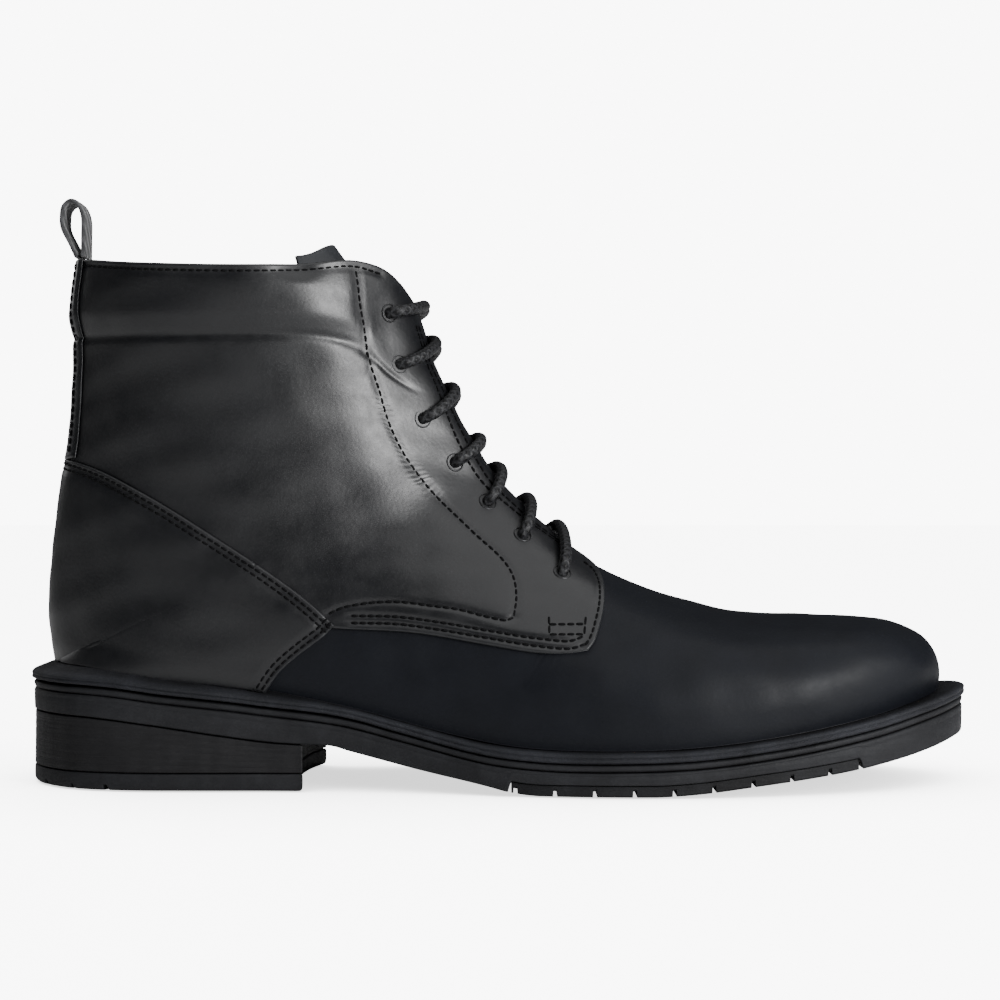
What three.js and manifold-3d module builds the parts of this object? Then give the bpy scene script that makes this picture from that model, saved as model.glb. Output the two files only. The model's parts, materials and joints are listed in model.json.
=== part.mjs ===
// A lace-up leather ankle boot for the right foot, as an assembly of its leather, lining, sole and lacing pieces.
// Millimetres, +Z up, toe towards +X, outer side of the foot towards -Y, origin on the ground under the middle of the sole.
import * as THREE from "three";
import { mergeVertices } from "three/addons/utils/BufferGeometryUtils.js";
import Module from "manifold-3d";

const wasm = await Module();
wasm.setup();

// ---------------------------------------------------------------- driving dimensions
const GAP = 0.3; // between touching pieces
const LEATHER = 1.2; // thickness of one leather layer
const LAYER = LEATHER + GAP; // from one layer of the upper to the next
const WELT = 3.2, MIDSOLE = 2.2, TREAD = 3.4; // thicknesses in the sole
const BOARD = 2.0, FOOTBED = 2.5; // inner sole board and the footbed on it
const FLEX_X = 58, FLEX_Z = 19.4; // the line across the ball of the foot that the sole bends about
const FLEX_BACK = 13, FLEX_FRONT = 14; // degrees each side of that line that the creasing band takes up
const FACING_GAP = 7.5; // half the gap between the two facings
const LACE_R = 1.9, AGLET_R = 1.7, AGLET_LENGTH = 21;
const LACE_UNDER = -4.6; // height of the lace over the vamp's face where it runs under a facing
const LACE_HANGS_AT = -92; // x of the loose ends inside the shaft
const EYELET_R = 2.6, EYELET_WALL = 0.5, EYELET_FLANGE = 1.0;
const TONGUE_DEPTH = 7.6; // tongue's outer face below the vamp's outer face
const LOOP_WIDTH = 14, LOOP_THICK = 1.6;
const HEEL_BREAST = { outer: -63.8, inner: -59.5 }; // x of the heel's front face at the two sides

// A smooth curve y(x) through hand-set points.
function curve(points) {
  const xs = points.map((p) => p[0]), ys = points.map((p) => p[1]);
  const slope = xs.map((_, i) => {
    const a = Math.max(i - 1, 0), b = Math.min(i + 1, xs.length - 1);
    return (ys[b] - ys[a]) / (xs[b] - xs[a]);
  });
  return (x) => {
    let i = 0;
    while (i < xs.length - 2 && x > xs[i + 1]) i++;
    const h = xs[i + 1] - xs[i], u = (x - xs[i]) / h;
    if (u < 0) return ys[0] + slope[0] * (x - xs[0]);
    if (u > 1) return ys[i + 1] + slope[i + 1] * (x - xs[i + 1]);
    const v = 1 - u;
    return ys[i] * v * v * (1 + 2 * u) + ys[i + 1] * u * u * (3 - 2 * u)
      + slope[i] * h * u * v * v - slope[i + 1] * h * u * u * v;
  };
}

// Height of the welt's top face along the boot, and of the sole's underside.
const weltTop = curve([[-153, 37.6], [-125, 36.6], [-105, 34.2], [-80, 31.4], [-52, 27.0], [-31, 21.8],
  [-5, 15.6], [12, 13.8], [30, 13.5], [60, 14.4], [86, 17.4], [103, 20.1], [120, 23.4], [135, 27.0], [153, 31.0]]);
const rockered = curve([[-66, 14.6], [-53, 14.2], [-47, 12.6], [-26, 7.4], [-5, 2.9], [4, 0.8], [12, 0], [48, 0],
  [62, 0.9], [78, 2.8], [98, 5.2], [112, 7.2], [130, 10.6], [153, 16.0]]);
const underside = (x) => Math.max(rockered(x), 0);

// Plan outline of the sole, toe tip to heel tip, for the outer (-Y) and the inner (+Y) side of the foot.
const SOLE_OUTER = [[153.5, 5], [152, -4.5], [147, -14.5], [138, -25.5], [124, -35.5], [104, -44.2], [80, -50],
  [52, -52.6], [28, -52], [4, -48], [-20, -42.5], [-45, -38.5], [-70, -37], [-95, -37.3], [-118, -36.3],
  [-136, -30.5], [-147, -20], [-152.2, -9.5], [-153.5, 0]];
const SOLE_INNER = [[153.5, 5], [152.3, 14], [148, 23], [140, 31], [126, 39], [106, 46], [82, 50.8],
  [54, 52.6], [30, 50.6], [5, 43.5], [-20, 37], [-45, 34.5], [-70, 35.3], [-95, 36.8], [-118, 36.3],
  [-136, 30.5], [-147, 20], [-152.2, 9.5], [-153.5, 0]];

// Stations of the upper's surface (the vamp's outer face). Each is a slanting section from the ridge line, over the
// toe, instep and shin, to the base line, round the feather edge and then up the back of the heel.
// ridge x, z, y | base x, z (null: on the welt) | base y outer, inner | half width outer, inner | widest at | roundness
const STATIONS = [
  [144.6, 31.4, 5.0, 144.6, null, 5.0, 5.0, 0.0, 0.0, 0.70, 2.2],
  [144.8, 35.8, 5.0, 143.7, null, -3.0, 13.0, 8.8, 8.8, 0.68, 2.2],
  [143.2, 42.5, 5.0, 140.0, null, -11.0, 20.5, 17.0, 16.5, 0.68, 2.2],
  [138.4, 48.2, 5.0, 132.0, null, -21.0, 28.0, 27.2, 24.4, 0.69, 2.3],
  [125.0, 53.0, 5.0, 118.0, null, -31.5, 35.0, 37.7, 31.4, 0.70, 2.3],
  [105.0, 54.2, 5.0, 99.0, null, -40.0, 40.5, 46.2, 36.8, 0.72, 2.3],
  [82.0, 54.6, 4.5, 78.0, null, -45.5, 44.0, 50.9, 40.8, 0.74, 2.2],
  [60.0, 59.6, 4.0, 55.0, null, -47.8, 46.0, 52.6, 43.2, 0.75, 2.1],
  [38.5, 67.6, 3.5, 30.0, null, -47.0, 44.5, 51.2, 42.2, 0.74, 2.0],
  [23.5, 75.0, 3.0, 5.0, null, -43.0, 38.5, 47.0, 38.0, 0.72, 1.95],
  [14.6, 82.2, 2.5, -20.0, null, -38.0, 32.5, 42.2, 35.4, 0.69, 1.9],
  [9.0, 87.2, 2.0, -45.0, null, -34.0, 29.0, 38.6, 33.6, 0.66, 1.9],
  [5.0, 91.0, 1.5, -70.0, null, -31.0, 28.5, 36.0, 33.0, 0.64, 1.9],
  [1.6, 94.4, 1.0, -95.0, null, -30.0, 29.0, 34.4, 32.4, 0.62, 1.9],
  [-1.2, 97.4, 0.5, -114.0, null, -28.8, 28.6, 33.2, 32.0, 0.60, 1.95],
  [-3.4, 100.2, 0.3, -128.0, null, -24.5, 24.5, 32.6, 31.8, 0.58, 2.0],
  [-5.2, 102.8, 0.0, -137.5, null, -16.5, 16.5, 32.2, 31.6, 0.56, 2.0],
  [-6.7, 105.0, 0.0, -142.0, null, -8.2, 8.2, 31.9, 31.5, 0.55, 2.0],
  [-8.2, 107.3, 0.0, -143.4, null, 0.0, 0.0, 31.7, 31.4, 0.54, 2.0],
  [-11.5, 112.5, 0.0, -145.4, 58.0, 0.0, 0.0, 31.5, 31.3, 0.52, 2.0],
  [-16.0, 121.0, 0.0, -143.0, 84.0, 0.0, 0.0, 31.6, 31.6, 0.50, 2.0],
  [-20.3, 130.5, 0.0, -139.8, 106.0, 0.0, 0.0, 32.4, 32.4, 0.50, 2.0],
  [-23.8, 139.0, 0.0, -137.6, 124.0, 0.0, 0.0, 33.4, 33.4, 0.50, 2.0],
  [-27.0, 149.0, 0.0, -137.4, 140.0, 0.0, 0.0, 34.6, 34.6, 0.50, 2.0],
  [-30.2, 159.5, 0.0, -137.0, 155.0, 0.0, 0.0, 35.8, 35.8, 0.50, 2.0],
  [-33.5, 171.0, 0.0, -136.0, 171.0, 0.0, 0.0, 36.8, 36.8, 0.50, 2.0],
  [-36.5, 184.0, 0.0, -135.0, 184.0, 0.0, 0.0, 37.4, 37.4, 0.50, 2.0],
];
const TOP_STATION = STATIONS.length - 1, BACK_STATION = 18;
for (const row of STATIONS) row[4] ??= weltTop(row[3]) + GAP;

// A station number between two stations gives a smooth mix of their dimensions.
function station(k) {
  const i = Math.min(Math.floor(k), TOP_STATION - 1), u = k - i;
  const row = (j) => STATIONS[Math.min(Math.max(j, 0), TOP_STATION)];
  return row(i).map((b, c) => {
    const a = row(i - 1)[c], d = row(i + 1)[c], e = row(i + 2)[c];
    return b + 0.5 * u * (d - a + u * (2 * a - 5 * b + 4 * d - e + u * (3 * (b - d) + e - a)));
  });
}

// The surface at station k; turn runs from -1, the base at the outer side, over the ridge at 0, to 1 at the inner side.
function surface(k, turn) {
  const [rx, rz, ry, bx, bz, baseOuter, baseInner, wideOuter, wideInner, widest, round] = station(k);
  const side = turn < 0 ? -1 : 1, t = Math.abs(turn);
  const wide = turn < 0 ? wideOuter : wideInner;
  const baseHalf = Math.max(side * ((turn < 0 ? baseOuter : baseInner) - ry), 0);
  let down, half;
  if (t < 0.5) {
    const angle = Math.PI * t, power = 2 / round;
    down = widest * (1 - Math.cos(angle) ** power);
    half = wide * Math.sin(angle) ** power;
  } else {
    const last = (Math.PI / 2) * (1 - (0.42 * baseHalf) / Math.max(wide, 0.1)); // a wide base leaves the side steep at the welt
    const angle = last * (2 * t - 1);
    down = widest + ((1 - widest) * Math.sin(angle)) / Math.sin(last);
    half = baseHalf + ((wide - baseHalf) * (Math.cos(angle) - Math.cos(last))) / (1 - Math.cos(last));
  }
  return new THREE.Vector3(rx + (bx - rx) * down, ry + side * half, rz + (bz - rz) * down);
}

// The surface closes on itself along the toe's tip and up the back of the heel, so the two sides share a normal there.
function onSeam(k, turn) {
  return k === 0 || (k >= BACK_STATION && Math.abs(turn) === 1);
}

// The outward normal, taken a little inside the ends.
function normal(k, turn) {
  const seam = onSeam(k, turn), ends = seam ? Math.abs(turn) : turn;
  const kk = THREE.MathUtils.clamp(k, 0.25, TOP_STATION - 0.05), tt = THREE.MathUtils.clamp(ends, -0.985, 0.985);
  const alongK = surface(kk + 0.05, tt).sub(surface(kk - 0.05, tt));
  const acrossT = surface(kk, tt + 0.012).sub(surface(kk, tt - 0.012));
  const n = acrossT.cross(alongK);
  if (seam || turn === 0) n.y = 0;
  return n.normalize();
}

// A point of the surface moved outwards, but never into the welt.
function skin(k, turn, outwards) {
  const p = surface(k, turn).addScaledVector(normal(k, turn), outwards);
  return p.setZ(Math.max(p.z, weltTop(p.x) + GAP));
}

// The station and turn of the surface point that a side view shows at x, z.
function locate(x, z, side) {
  let best = [10, side * 0.3], step = [6, 0.25], error = Infinity;
  const miss = (k, t) => {
    const p = surface(k, t);
    return Math.hypot(p.x - x, p.z - z);
  };
  for (let k = 1; k < TOP_STATION; k += 0.5) {
    for (let t = 0.02; t < 1; t += 0.04) {
      const m = miss(k, side * t);
      if (m < error) [error, best] = [m, [k, side * t]];
    }
  }
  step = [0.25, 0.02];
  for (let i = 0; i < 60; i++) {
    let moved = false;
    for (const [dk, dt] of [[1, 0], [-1, 0], [0, 1], [0, -1]]) {
      const k = THREE.MathUtils.clamp(best[0] + dk * step[0], 0, TOP_STATION);
      const t = side * THREE.MathUtils.clamp(side * best[1] + dt * step[1], 0, 1);
      if (miss(k, t) < error) [error, best, moved] = [miss(k, t), [k, t], true];
    }
    if (!moved) step = step.map((s) => s / 2);
  }
  return best;
}

// ---------------------------------------------------------------- solids
function solid(geometry) {
  const g = geometry.clone();
  g.deleteAttribute("normal");
  g.deleteAttribute("uv");
  const merged = mergeVertices(g, 1e-4);
  const index = Array.from(merged.index ? merged.index.array : merged.attributes.position.array.keys());
  const kept = [];
  for (let i = 0; i < index.length; i += 3) {
    const [a, b, c] = index.slice(i, i + 3);
    if (a !== b && b !== c && a !== c) kept.push(a, b, c);
  }
  return new wasm.Manifold(new wasm.Mesh({
    numProp: 3, vertProperties: new Float32Array(merged.attributes.position.array), triVerts: new Uint32Array(kept),
  }));
}

function geometryOf(made) {
  const largest = made.simplify(0.05).decompose().reduce((a, b) => (a.volume() > b.volume() ? a : b));
  const mesh = largest.getMesh();
  return new THREE.BufferGeometry()
    .setAttribute("position", new THREE.BufferAttribute(new Float32Array(mesh.vertProperties), 3))
    .setIndex(new THREE.BufferAttribute(new Uint32Array(mesh.triVerts), 1));
}

// A closed body between two grids of points, rows of [i][j]. Where two of its side walls meet back to back, the grid
// has closed on itself, and both are left out.
function between(outer, inner) {
  const rows = outer.length, cols = outer[0].length;
  const points = [...outer.flat(), ...inner.flat()];
  const at = (face, i, j) => face * rows * cols + i * cols + j;
  const faces = [], walls = new Map();
  const place = (n) => points[n].toArray().map((v) => Math.round(v * 1e3)).join();
  const wall = (...quad) => {
    const key = quad.map(place).sort().join(" ");
    if (walls.has(key)) walls.delete(key);
    else walls.set(key, quad);
  };
  for (let i = 0; i < rows - 1; i++) {
    for (let j = 0; j < cols - 1; j++) {
      faces.push([at(0, i, j), at(0, i, j + 1), at(0, i + 1, j + 1), at(0, i + 1, j)]);
      faces.push([at(1, i, j), at(1, i + 1, j), at(1, i + 1, j + 1), at(1, i, j + 1)]);
    }
  }
  for (let i = 0; i < rows - 1; i++) {
    wall(at(0, i, 0), at(0, i + 1, 0), at(1, i + 1, 0), at(1, i, 0));
    wall(at(0, i + 1, cols - 1), at(0, i, cols - 1), at(1, i, cols - 1), at(1, i + 1, cols - 1));
  }
  for (let j = 0; j < cols - 1; j++) {
    wall(at(0, 0, j + 1), at(0, 0, j), at(1, 0, j), at(1, 0, j + 1));
    wall(at(0, rows - 1, j), at(0, rows - 1, j + 1), at(1, rows - 1, j + 1), at(1, rows - 1, j));
  }
  const index = [...faces, ...walls.values()].flatMap(([a, b, c, d]) => [a, b, c, a, c, d]);
  const positions = new Float32Array(points.flatMap((p) => [p.x, p.y, p.z]));
  const g = new THREE.BufferGeometry().setAttribute("position", new THREE.BufferAttribute(positions, 3));
  const made = solid(g.setIndex(index));
  return made.volume() < 0 ? solid(g.setIndex(index.reverse())) : made;
}

const range = (from, to, count) => Array.from({ length: count + 1 }, (_, i) => from + ((to - from) * i) / count);

// A shell of the upper between two depths. Depths are distances outwards from the vamp's face, or a function of k, turn.
function shell({ stations, turns, outer, inner }) {
  const depth = (d, k, t) => (typeof d === "function" ? d(k, t) : d);
  const grid = (d) => stations.map((k) => turns.map((t) => skin(k, t, depth(d, k, t))));
  return between(grid(outer), grid(inner));
}

// Turns are closer together over the ridge, where the surface curves most.
const HALF_TURNS = [0.07, 0.17, 0.28, 0.4, 0.53, 0.69, 0.86, 1];
const TURNS = [...HALF_TURNS.map((t) => -t).reverse(), 0, ...HALF_TURNS];

// A prism through the boot with a side-view outline of [x, z] points, from y0 to y1.
function prism(outline, y0 = -90, y1 = 90) {
  const shape = new THREE.Shape(outline.map(([x, z]) => new THREE.Vector2(x, z)));
  const g = new THREE.ExtrudeGeometry(shape, { depth: y1 - y0, bevelEnabled: false });
  return solid(g.rotateX(Math.PI / 2).translate(0, y1, 0));
}

function box(x0, y0, z0, x1, y1, z1) {
  const g = new THREE.BoxGeometry(x1 - x0, y1 - y0, z1 - z0);
  return solid(g.translate((x0 + x1) / 2, (y0 + y1) / 2, (z0 + z1) / 2));
}

// The same outline with its corners rounded off into a smooth line.
function smoothed(points, count = 24) {
  const c = new THREE.CatmullRomCurve3(points.map(([x, z]) => new THREE.Vector3(x, 0, z)), false, "centripetal");
  return c.getPoints(count).map((p) => [p.x, p.z]);
}

// ---------------------------------------------------------------- side-view outlines of the panels
const COLLAR = smoothed([[-160, 171.5], [-139, 169.6], [-112, 166.2], [-86, 165.0], [-62, 165.6], [-47, 167.4],
  [-38.5, 165.4], [-33.5, 161.2], [-29.4, 155.5], [-22, 146]], 15);
const QUARTER_LOWER = smoothed([[24, 71.5], [31.2, 68.6], [32.8, 63], [32.3, 57], [30.4, 50.5], [27.6, 44.6],
  [22.6, 42.4], [8.8, 44], [-4.9, 46.4], [-19, 48.6], [-33, 50.4], [-47, 51.2], [-52, 51]], 15);
const COUNTER_TOP = smoothed([[-160, 108.5], [-142, 105.2], [-128, 100.7], [-116.5, 95.4], [-104, 88.6], [-88, 78.6],
  [-69, 66], [-58, 57.6], [-51.2, 51.6]], 10);
const COUNTER_FRONT = smoothed([[-51.2, 51.6], [-56, 47.8], [-60, 45], [-65, 41], [-69.5, 36.6], [-75, 28], [-80, 18]], 7);
const FOAM_LOWER = [[-160, 143.6], [-52, 142.8], [-47, 141.4], [-42.8, 138.1]];
const BACKING_EDGE = smoothed([[-47.5, 190], [-46.4, 166], [-44.6, 153], [-41.6, 136], [-38, 122], [-30, 106],
  [-19.5, 90], [-8, 78.6], [0, 71], [4.7, 63], [5.2, 54.5]], 9);
const OUTLINE_REACH = 8; // how far a lower panel runs on under the panel that covers it
const lowered = (line, dx, dz) => line.map(([x, z]) => [x + dx, z + dz]);

const counterShape = prism([...COUNTER_TOP, ...COUNTER_FRONT, [-80, 0], [-170, 0], [-170, 108]]);
const quarterShape = prism([...COLLAR, [-5, 160], [26.5, 130], [26.8, 72.4], [29.4, 70.8], ...QUARTER_LOWER.slice(1, -1),
  ...lowered(COUNTER_TOP, -2, -OUTLINE_REACH).reverse().slice(1)]);
const vampShape = prism([[-90, 8], [-86, 30], [-78, 44], [-69, 53], [-58, 58], [-47, 58.8], [-33, 58], [-19, 56.4],
  [-5, 54.2], [9, 51.8], [20, 51], [24.6, 57], [25.6, 66], [24.5, 90], [80, 95], [170, 60], [170, 0]]);
const bodyOfFacings = prism([...BACKING_EDGE, [20, 46], [60, 46], [60, 190]]);

// ---------------------------------------------------------------- the flex line
const tangent = (degrees) => Math.tan(THREE.MathUtils.degToRad(degrees));
const flexHeight = 60;
function flexBand(sideGap) {
  return prism([[FLEX_X, FLEX_Z + sideGap], [FLEX_X + flexHeight * tangent(FLEX_FRONT) - sideGap, FLEX_Z + flexHeight],
    [FLEX_X - flexHeight * tangent(FLEX_BACK) + sideGap, FLEX_Z + flexHeight]]);
}
const aheadOfFlex = prism([[FLEX_X + GAP / 2, -20], [FLEX_X + GAP / 2, FLEX_Z],
  [FLEX_X + GAP / 2 + flexHeight * tangent(FLEX_FRONT), FLEX_Z + flexHeight], [200, FLEX_Z + flexHeight], [200, -20]]);
const behindFlex = prism([[FLEX_X - GAP / 2, -20], [-200, -20], [-200, 220], [FLEX_X - GAP / 2 - 200 * tangent(FLEX_BACK), 220],
  [FLEX_X - GAP / 2 - 200 * tangent(FLEX_BACK), FLEX_Z + 200], [FLEX_X - GAP / 2, FLEX_Z]]);

// ---------------------------------------------------------------- scene graph
const boot = new THREE.Group();
const LOOKS = {
  leather: { color: 0x16171a, roughness: 0.42, metalness: 0 },
  lining: { color: 0x2a3538, roughness: 0.85, metalness: 0 },
  foam: { color: 0x3a3a3c, roughness: 0.95, metalness: 0 },
  board: { color: 0x6b5138, roughness: 0.9, metalness: 0 },
  cork: { color: 0x8a6442, roughness: 0.95, metalness: 0 },
  rubber: { color: 0x131416, roughness: 0.62, metalness: 0 },
  steel: { color: 0x8c9094, roughness: 0.35, metalness: 1 },
  black_metal: { color: 0x1a1a1b, roughness: 0.4, metalness: 0.8 },
  lace: { color: 0x17181b, roughness: 0.7, metalness: 0 },
  webbing: { color: 0x202123, roughness: 0.8, metalness: 0 },
};

function add(name, look, made) {
  const mesh = new THREE.Mesh(geometryOf(made), new THREE.MeshStandardMaterial(LOOKS[look]));
  mesh.name = name;
  boot.add(mesh);
  return mesh;
}

// ---------------------------------------------------------------- the sole
// A slab under a plan outline brought in by inset, between two heights along the boot.
function slab(inset, bottom, top, outer = SOLE_OUTER, inner = SOLE_INNER, steps = 26) {
  const line = (points) => {
    const corners = points.map(([x, y]) => new THREE.Vector3(x, y, 0));
    return new THREE.CatmullRomCurve3(corners, false, "centripetal").getPoints(steps);
  };
  const a = line(outer), b = line(inner);
  const broughtIn = (list, side) => list.map((p, i) => {
    const along = list[Math.min(i + 1, steps)].clone().sub(list[Math.max(i - 1, 0)]).normalize();
    return new THREE.Vector3(p.x + side * inset * along.y, p.y - side * inset * along.x, 0);
  });
  const edgeA = broughtIn(a, 1), edgeB = broughtIn(b, -1);
  edgeA[0] = edgeB[0] = new THREE.Vector3(a[0].x - inset, a[0].y, 0);
  edgeA[steps] = edgeB[steps] = new THREE.Vector3(a[steps].x + inset, a[steps].y, 0);
  const face = (height) => edgeA.map((p, i) => range(0, 1, 1).map((u) => {
    const q = p.clone().lerp(edgeB[i], u);
    return q.setZ(height(q.x));
  }));
  return between(face(top), face(bottom));
}

const FEATHER_OUTER = STATIONS.slice(0, 19).map((s) => [s[3], s[5]]);
const FEATHER_INNER = STATIONS.slice(0, 19).map((s) => [s[3], s[6]]);
const under = (depth) => (x) => weltTop(x) - depth;
const outsoleTop = under(WELT + MIDSOLE + 2 * GAP);
const seat = curve([[-156, 23.5], [-130, 22.8], [-110, 20.6], [-90, 17.6], [-72, 15.2], [-62, 14.6], [-56, 14.4]]);

function soleLayers() {
  const ring = slab(0, under(WELT), weltTop).subtract(slab(6.5, under(30), (x) => weltTop(x) + 30, FEATHER_OUTER, FEATHER_INNER));
  const midsole = slab(0.7, under(WELT + MIDSOLE + GAP), under(WELT + GAP));
  const filler = slab(7, under(WELT - GAP), under(GAP), FEATHER_OUTER, FEATHER_INNER);
  const board = slab(5.3, (x) => weltTop(x) + GAP, (x) => weltTop(x) + GAP + BOARD, FEATHER_OUTER, FEATHER_INNER);
  const footbed = slab(6.4, (x) => weltTop(x) + BOARD + 2 * GAP, (x) => weltTop(x) + BOARD + FOOTBED + 2 * GAP - 0.1,
    FEATHER_OUTER, FEATHER_INNER);
  const halves = [["front", aheadOfFlex], ["rear", behindFlex]];
  for (const [end, half] of halves) {
    add("welt_" + end, "rubber", ring.intersect(half));
    add("midsole_" + end, "rubber", midsole.intersect(half));
    add("insole_board_" + end, "board", board.intersect(half));
    add("footbed_" + end, "lining", footbed.intersect(half));
  }
  add("cork_filler_front", "cork", filler.intersect(aheadOfFlex));
  const along = range(-112, -8, 14);
  const shankSide = [...along.map((x) => [x, weltTop(x) - 0.9]), ...along.reverse().map((x) => [x, weltTop(x) - 2.2])];
  add("cork_filler_rear", "cork", filler.intersect(behindFlex).subtract(box(-112.4, -7.4, 0, -7.6, 7.4, 60)));
  add("steel_shank", "steel", prism(shankSide, -7, 7));
}

// The outsole, the tread pads under its forepart with their edge grooves, and the heel.
function outsole() {
  const treadFrom = 3.5, treadTo = 112;
  const aboveTread = (x) => underside(x) + TREAD + 0.4;
  const behindTread = slab(1.2, underside, outsoleTop).intersect(box(-58, -90, -5, treadFrom - GAP, 90, 80));
  const overTread = slab(1.2, aboveTread, outsoleTop).intersect(box(treadFrom - 2, -90, -5, treadTo + 2, 90, 80));
  const toe = slab(1.2, underside, outsoleTop).intersect(box(treadTo + GAP, -90, -5, 200, 90, 80));
  const overHeel = slab(1.2, seat, outsoleTop).intersect(box(-200, -90, -5, -58, 90, 80));
  const whole = behindTread.add(overTread).add(toe).add(overHeel);
  add("outsole_front", "rubber", whole.intersect(aheadOfFlex));
  add("outsole_rear", "rubber", whole.intersect(behindFlex));

  let pad = slab(2.2, underside, (x) => underside(x) + TREAD).intersect(box(treadFrom, -90, -5, treadTo, 90, 60));
  const pitch = 12.2, grooves = 9, grooveWidth = 1.3, grooveDepth = 1.9, grooveReach = 13;
  for (let i = 0; i < grooves; i++) {
    const x = treadFrom + 0.6 + pitch * i;
    if (Math.abs(x - FLEX_X) < 3) continue;
    for (const side of [-1, 1]) {
      const edge = side < 0 ? edgeAt(SOLE_OUTER, x) : edgeAt(SOLE_INNER, x);
      const low = Math.min(edge - side * grooveReach, edge + side * 9), high = Math.max(edge - side * grooveReach, edge + side * 9);
      pad = pad.subtract(box(x, low, -5, x + grooveWidth, high, underside(x) + grooveDepth));
    }
  }
  add("tread_pad_front", "rubber", pad.intersect(aheadOfFlex));
  add("tread_pad_rear", "rubber", pad.intersect(behindFlex));
}

// y of a plan outline where it passes x.
function edgeAt(outline, x) {
  const i = outline.findIndex((p, n) => n > 0 && p[0] <= x);
  const [a, b] = [outline[i - 1], outline[i]];
  return a[1] + ((b[1] - a[1]) * (x - a[0])) / (b[0] - a[0]);
}

function heel() {
  const lift = 5.4, taper = 1.0;
  const breast = (from, to) => {
    const y = 60, slope = (HEEL_BREAST.inner - HEEL_BREAST.outer) / 70;
    const at = (yy) => HEEL_BREAST.outer + slope * (yy + 35);
    const shape = new THREE.Shape([[-200, -y], [at(-y), -y], [at(-18) - 2, -18], [at(0) - 3, 0], [at(18) - 2, 18],
      [at(y), y], [-200, y]].map(([a, b]) => new THREE.Vector2(a, b)));
    const g = new THREE.ExtrudeGeometry(shape, { depth: to - from, bevelEnabled: false });
    return solid(g.translate(0, 0, from));
  };
  const block = slab(taper, () => lift + GAP, (x) => seat(x) - GAP - 0.1).intersect(breast(0, 60));
  let topPiece = slab(taper, () => 0, () => lift).intersect(breast(-1, 20));
  const grooveWidth = 1.3, grooveDepth = 1.9, outOfSole = 12, intoSole = 6;
  for (const side of [-1, 1]) {
    for (const degrees of [12, 36, 58, 78]) {
      const a = THREE.MathUtils.degToRad(degrees);
      const cut = new THREE.BoxGeometry(outOfSole + intoSole, grooveWidth, 2 * grooveDepth);
      cut.translate(-(outOfSole - intoSole) / 2 - 35, 0, 0).rotateZ(side * a).translate(-117, 0, 0);
      topPiece = topPiece.subtract(solid(cut));
    }
  }
  add("heel_block", "rubber", block);
  add("heel_top_piece", "rubber", topPiece);
}

// ---------------------------------------------------------------- the upper
const gapBox = box(-60, -FACING_GAP, 60, 60, FACING_GAP, 200);
const SIDES = [["outer", -1], ["inner", 1]];
const halfSpace = (side) => (side < 0 ? box(-200, -90, -10, 200, -GAP / 2, 220) : box(-200, GAP / 2, -10, 200, 90, 220));
const STEPS = [0, 0.5, 1, 1.6, 2.3, 3, 4, 5, 6, 7, 8, 9, 10, 11.3, 12.6, 14, 15, 16, 17, 18, 19, 20, 21, 22, 23.5, 25];
const steps = (from, to) => STEPS.filter((k) => k >= from && k <= to);
const FOOT_STATIONS = steps(0, 14), LEG_STATIONS = steps(7, 25), HEEL_STATIONS = steps(10, 22);

function quarters(holes) {
  const layer = shell({ stations: LEG_STATIONS, turns: TURNS, outer: GAP + LEATHER, inner: GAP });
  const backing = shell({ stations: LEG_STATIONS, turns: TURNS, outer: 0, inner: -1.0 });
  for (const [name, side] of SIDES) {
    const piece = layer.intersect(quarterShape).intersect(halfSpace(side)).subtract(gapBox);
    add("quarter_" + name, "leather", holes.reduce((p, h) => p.subtract(h), piece));
    const strip = backing.intersect(quarterShape).intersect(bodyOfFacings).intersect(halfSpace(side)).subtract(gapBox)
      .subtract(vampShape).subtract(vampShape.translate([-GAP, 0, GAP]));
    add("eyestay_backing_" + name, "lining", holes.reduce((p, h) => p.subtract(h), strip));
  }
}

function heelPanels() {
  const cover = shell({ stations: HEEL_STATIONS, turns: TURNS, outer: 2 * LAYER, inner: 2 * LAYER - LEATHER });
  add("heel_counter_cover", "leather", cover.intersect(counterShape));
  const inside = prism([...lowered(COUNTER_TOP, -4, -OUTLINE_REACH - 2).slice(0, 8), [-82, 52],
    [-88, 45], [-170, 45]]);
  const stiffener = shell({ stations: HEEL_STATIONS, turns: TURNS, outer: 0.7, inner: -0.3 });
  add("heel_stiffener", "board", stiffener.intersect(inside));
}

function vamp() {
  const layer = shell({ stations: FOOT_STATIONS, turns: TURNS, outer: 0, inner: -LEATHER }).intersect(vampShape);
  add("vamp_front", "leather", layer.intersect(aheadOfFlex));
  add("vamp_flex_band", "leather", layer.intersect(flexBand(GAP)));
  add("vamp_rear", "leather", layer.intersect(behindFlex));
  const puffZone = prism([[108, 0], [103, 30], [100, 48], [98, 80], [170, 80], [170, 0]]);
  const puff = shell({ stations: steps(0, 7), turns: TURNS, outer: -LAYER, inner: -LAYER - 1 });
  add("toe_puff", "board", puff.intersect(puffZone));
  const frontLining = shell({ stations: steps(0, 10), turns: TURNS, outer: -LAYER - 1.3, inner: -LAYER - 2.2 })
    .intersect(prism([[26, 0], [26, 52], [27, 90], [170, 90], [170, 0]]));
  add("lining_front", "lining", frontLining.intersect(aheadOfFlex));
  add("lining_flex_band", "lining", frontLining.intersect(flexBand(GAP)));
  add("lining_vamp_rear", "lining", frontLining.intersect(behindFlex));
}

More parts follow.
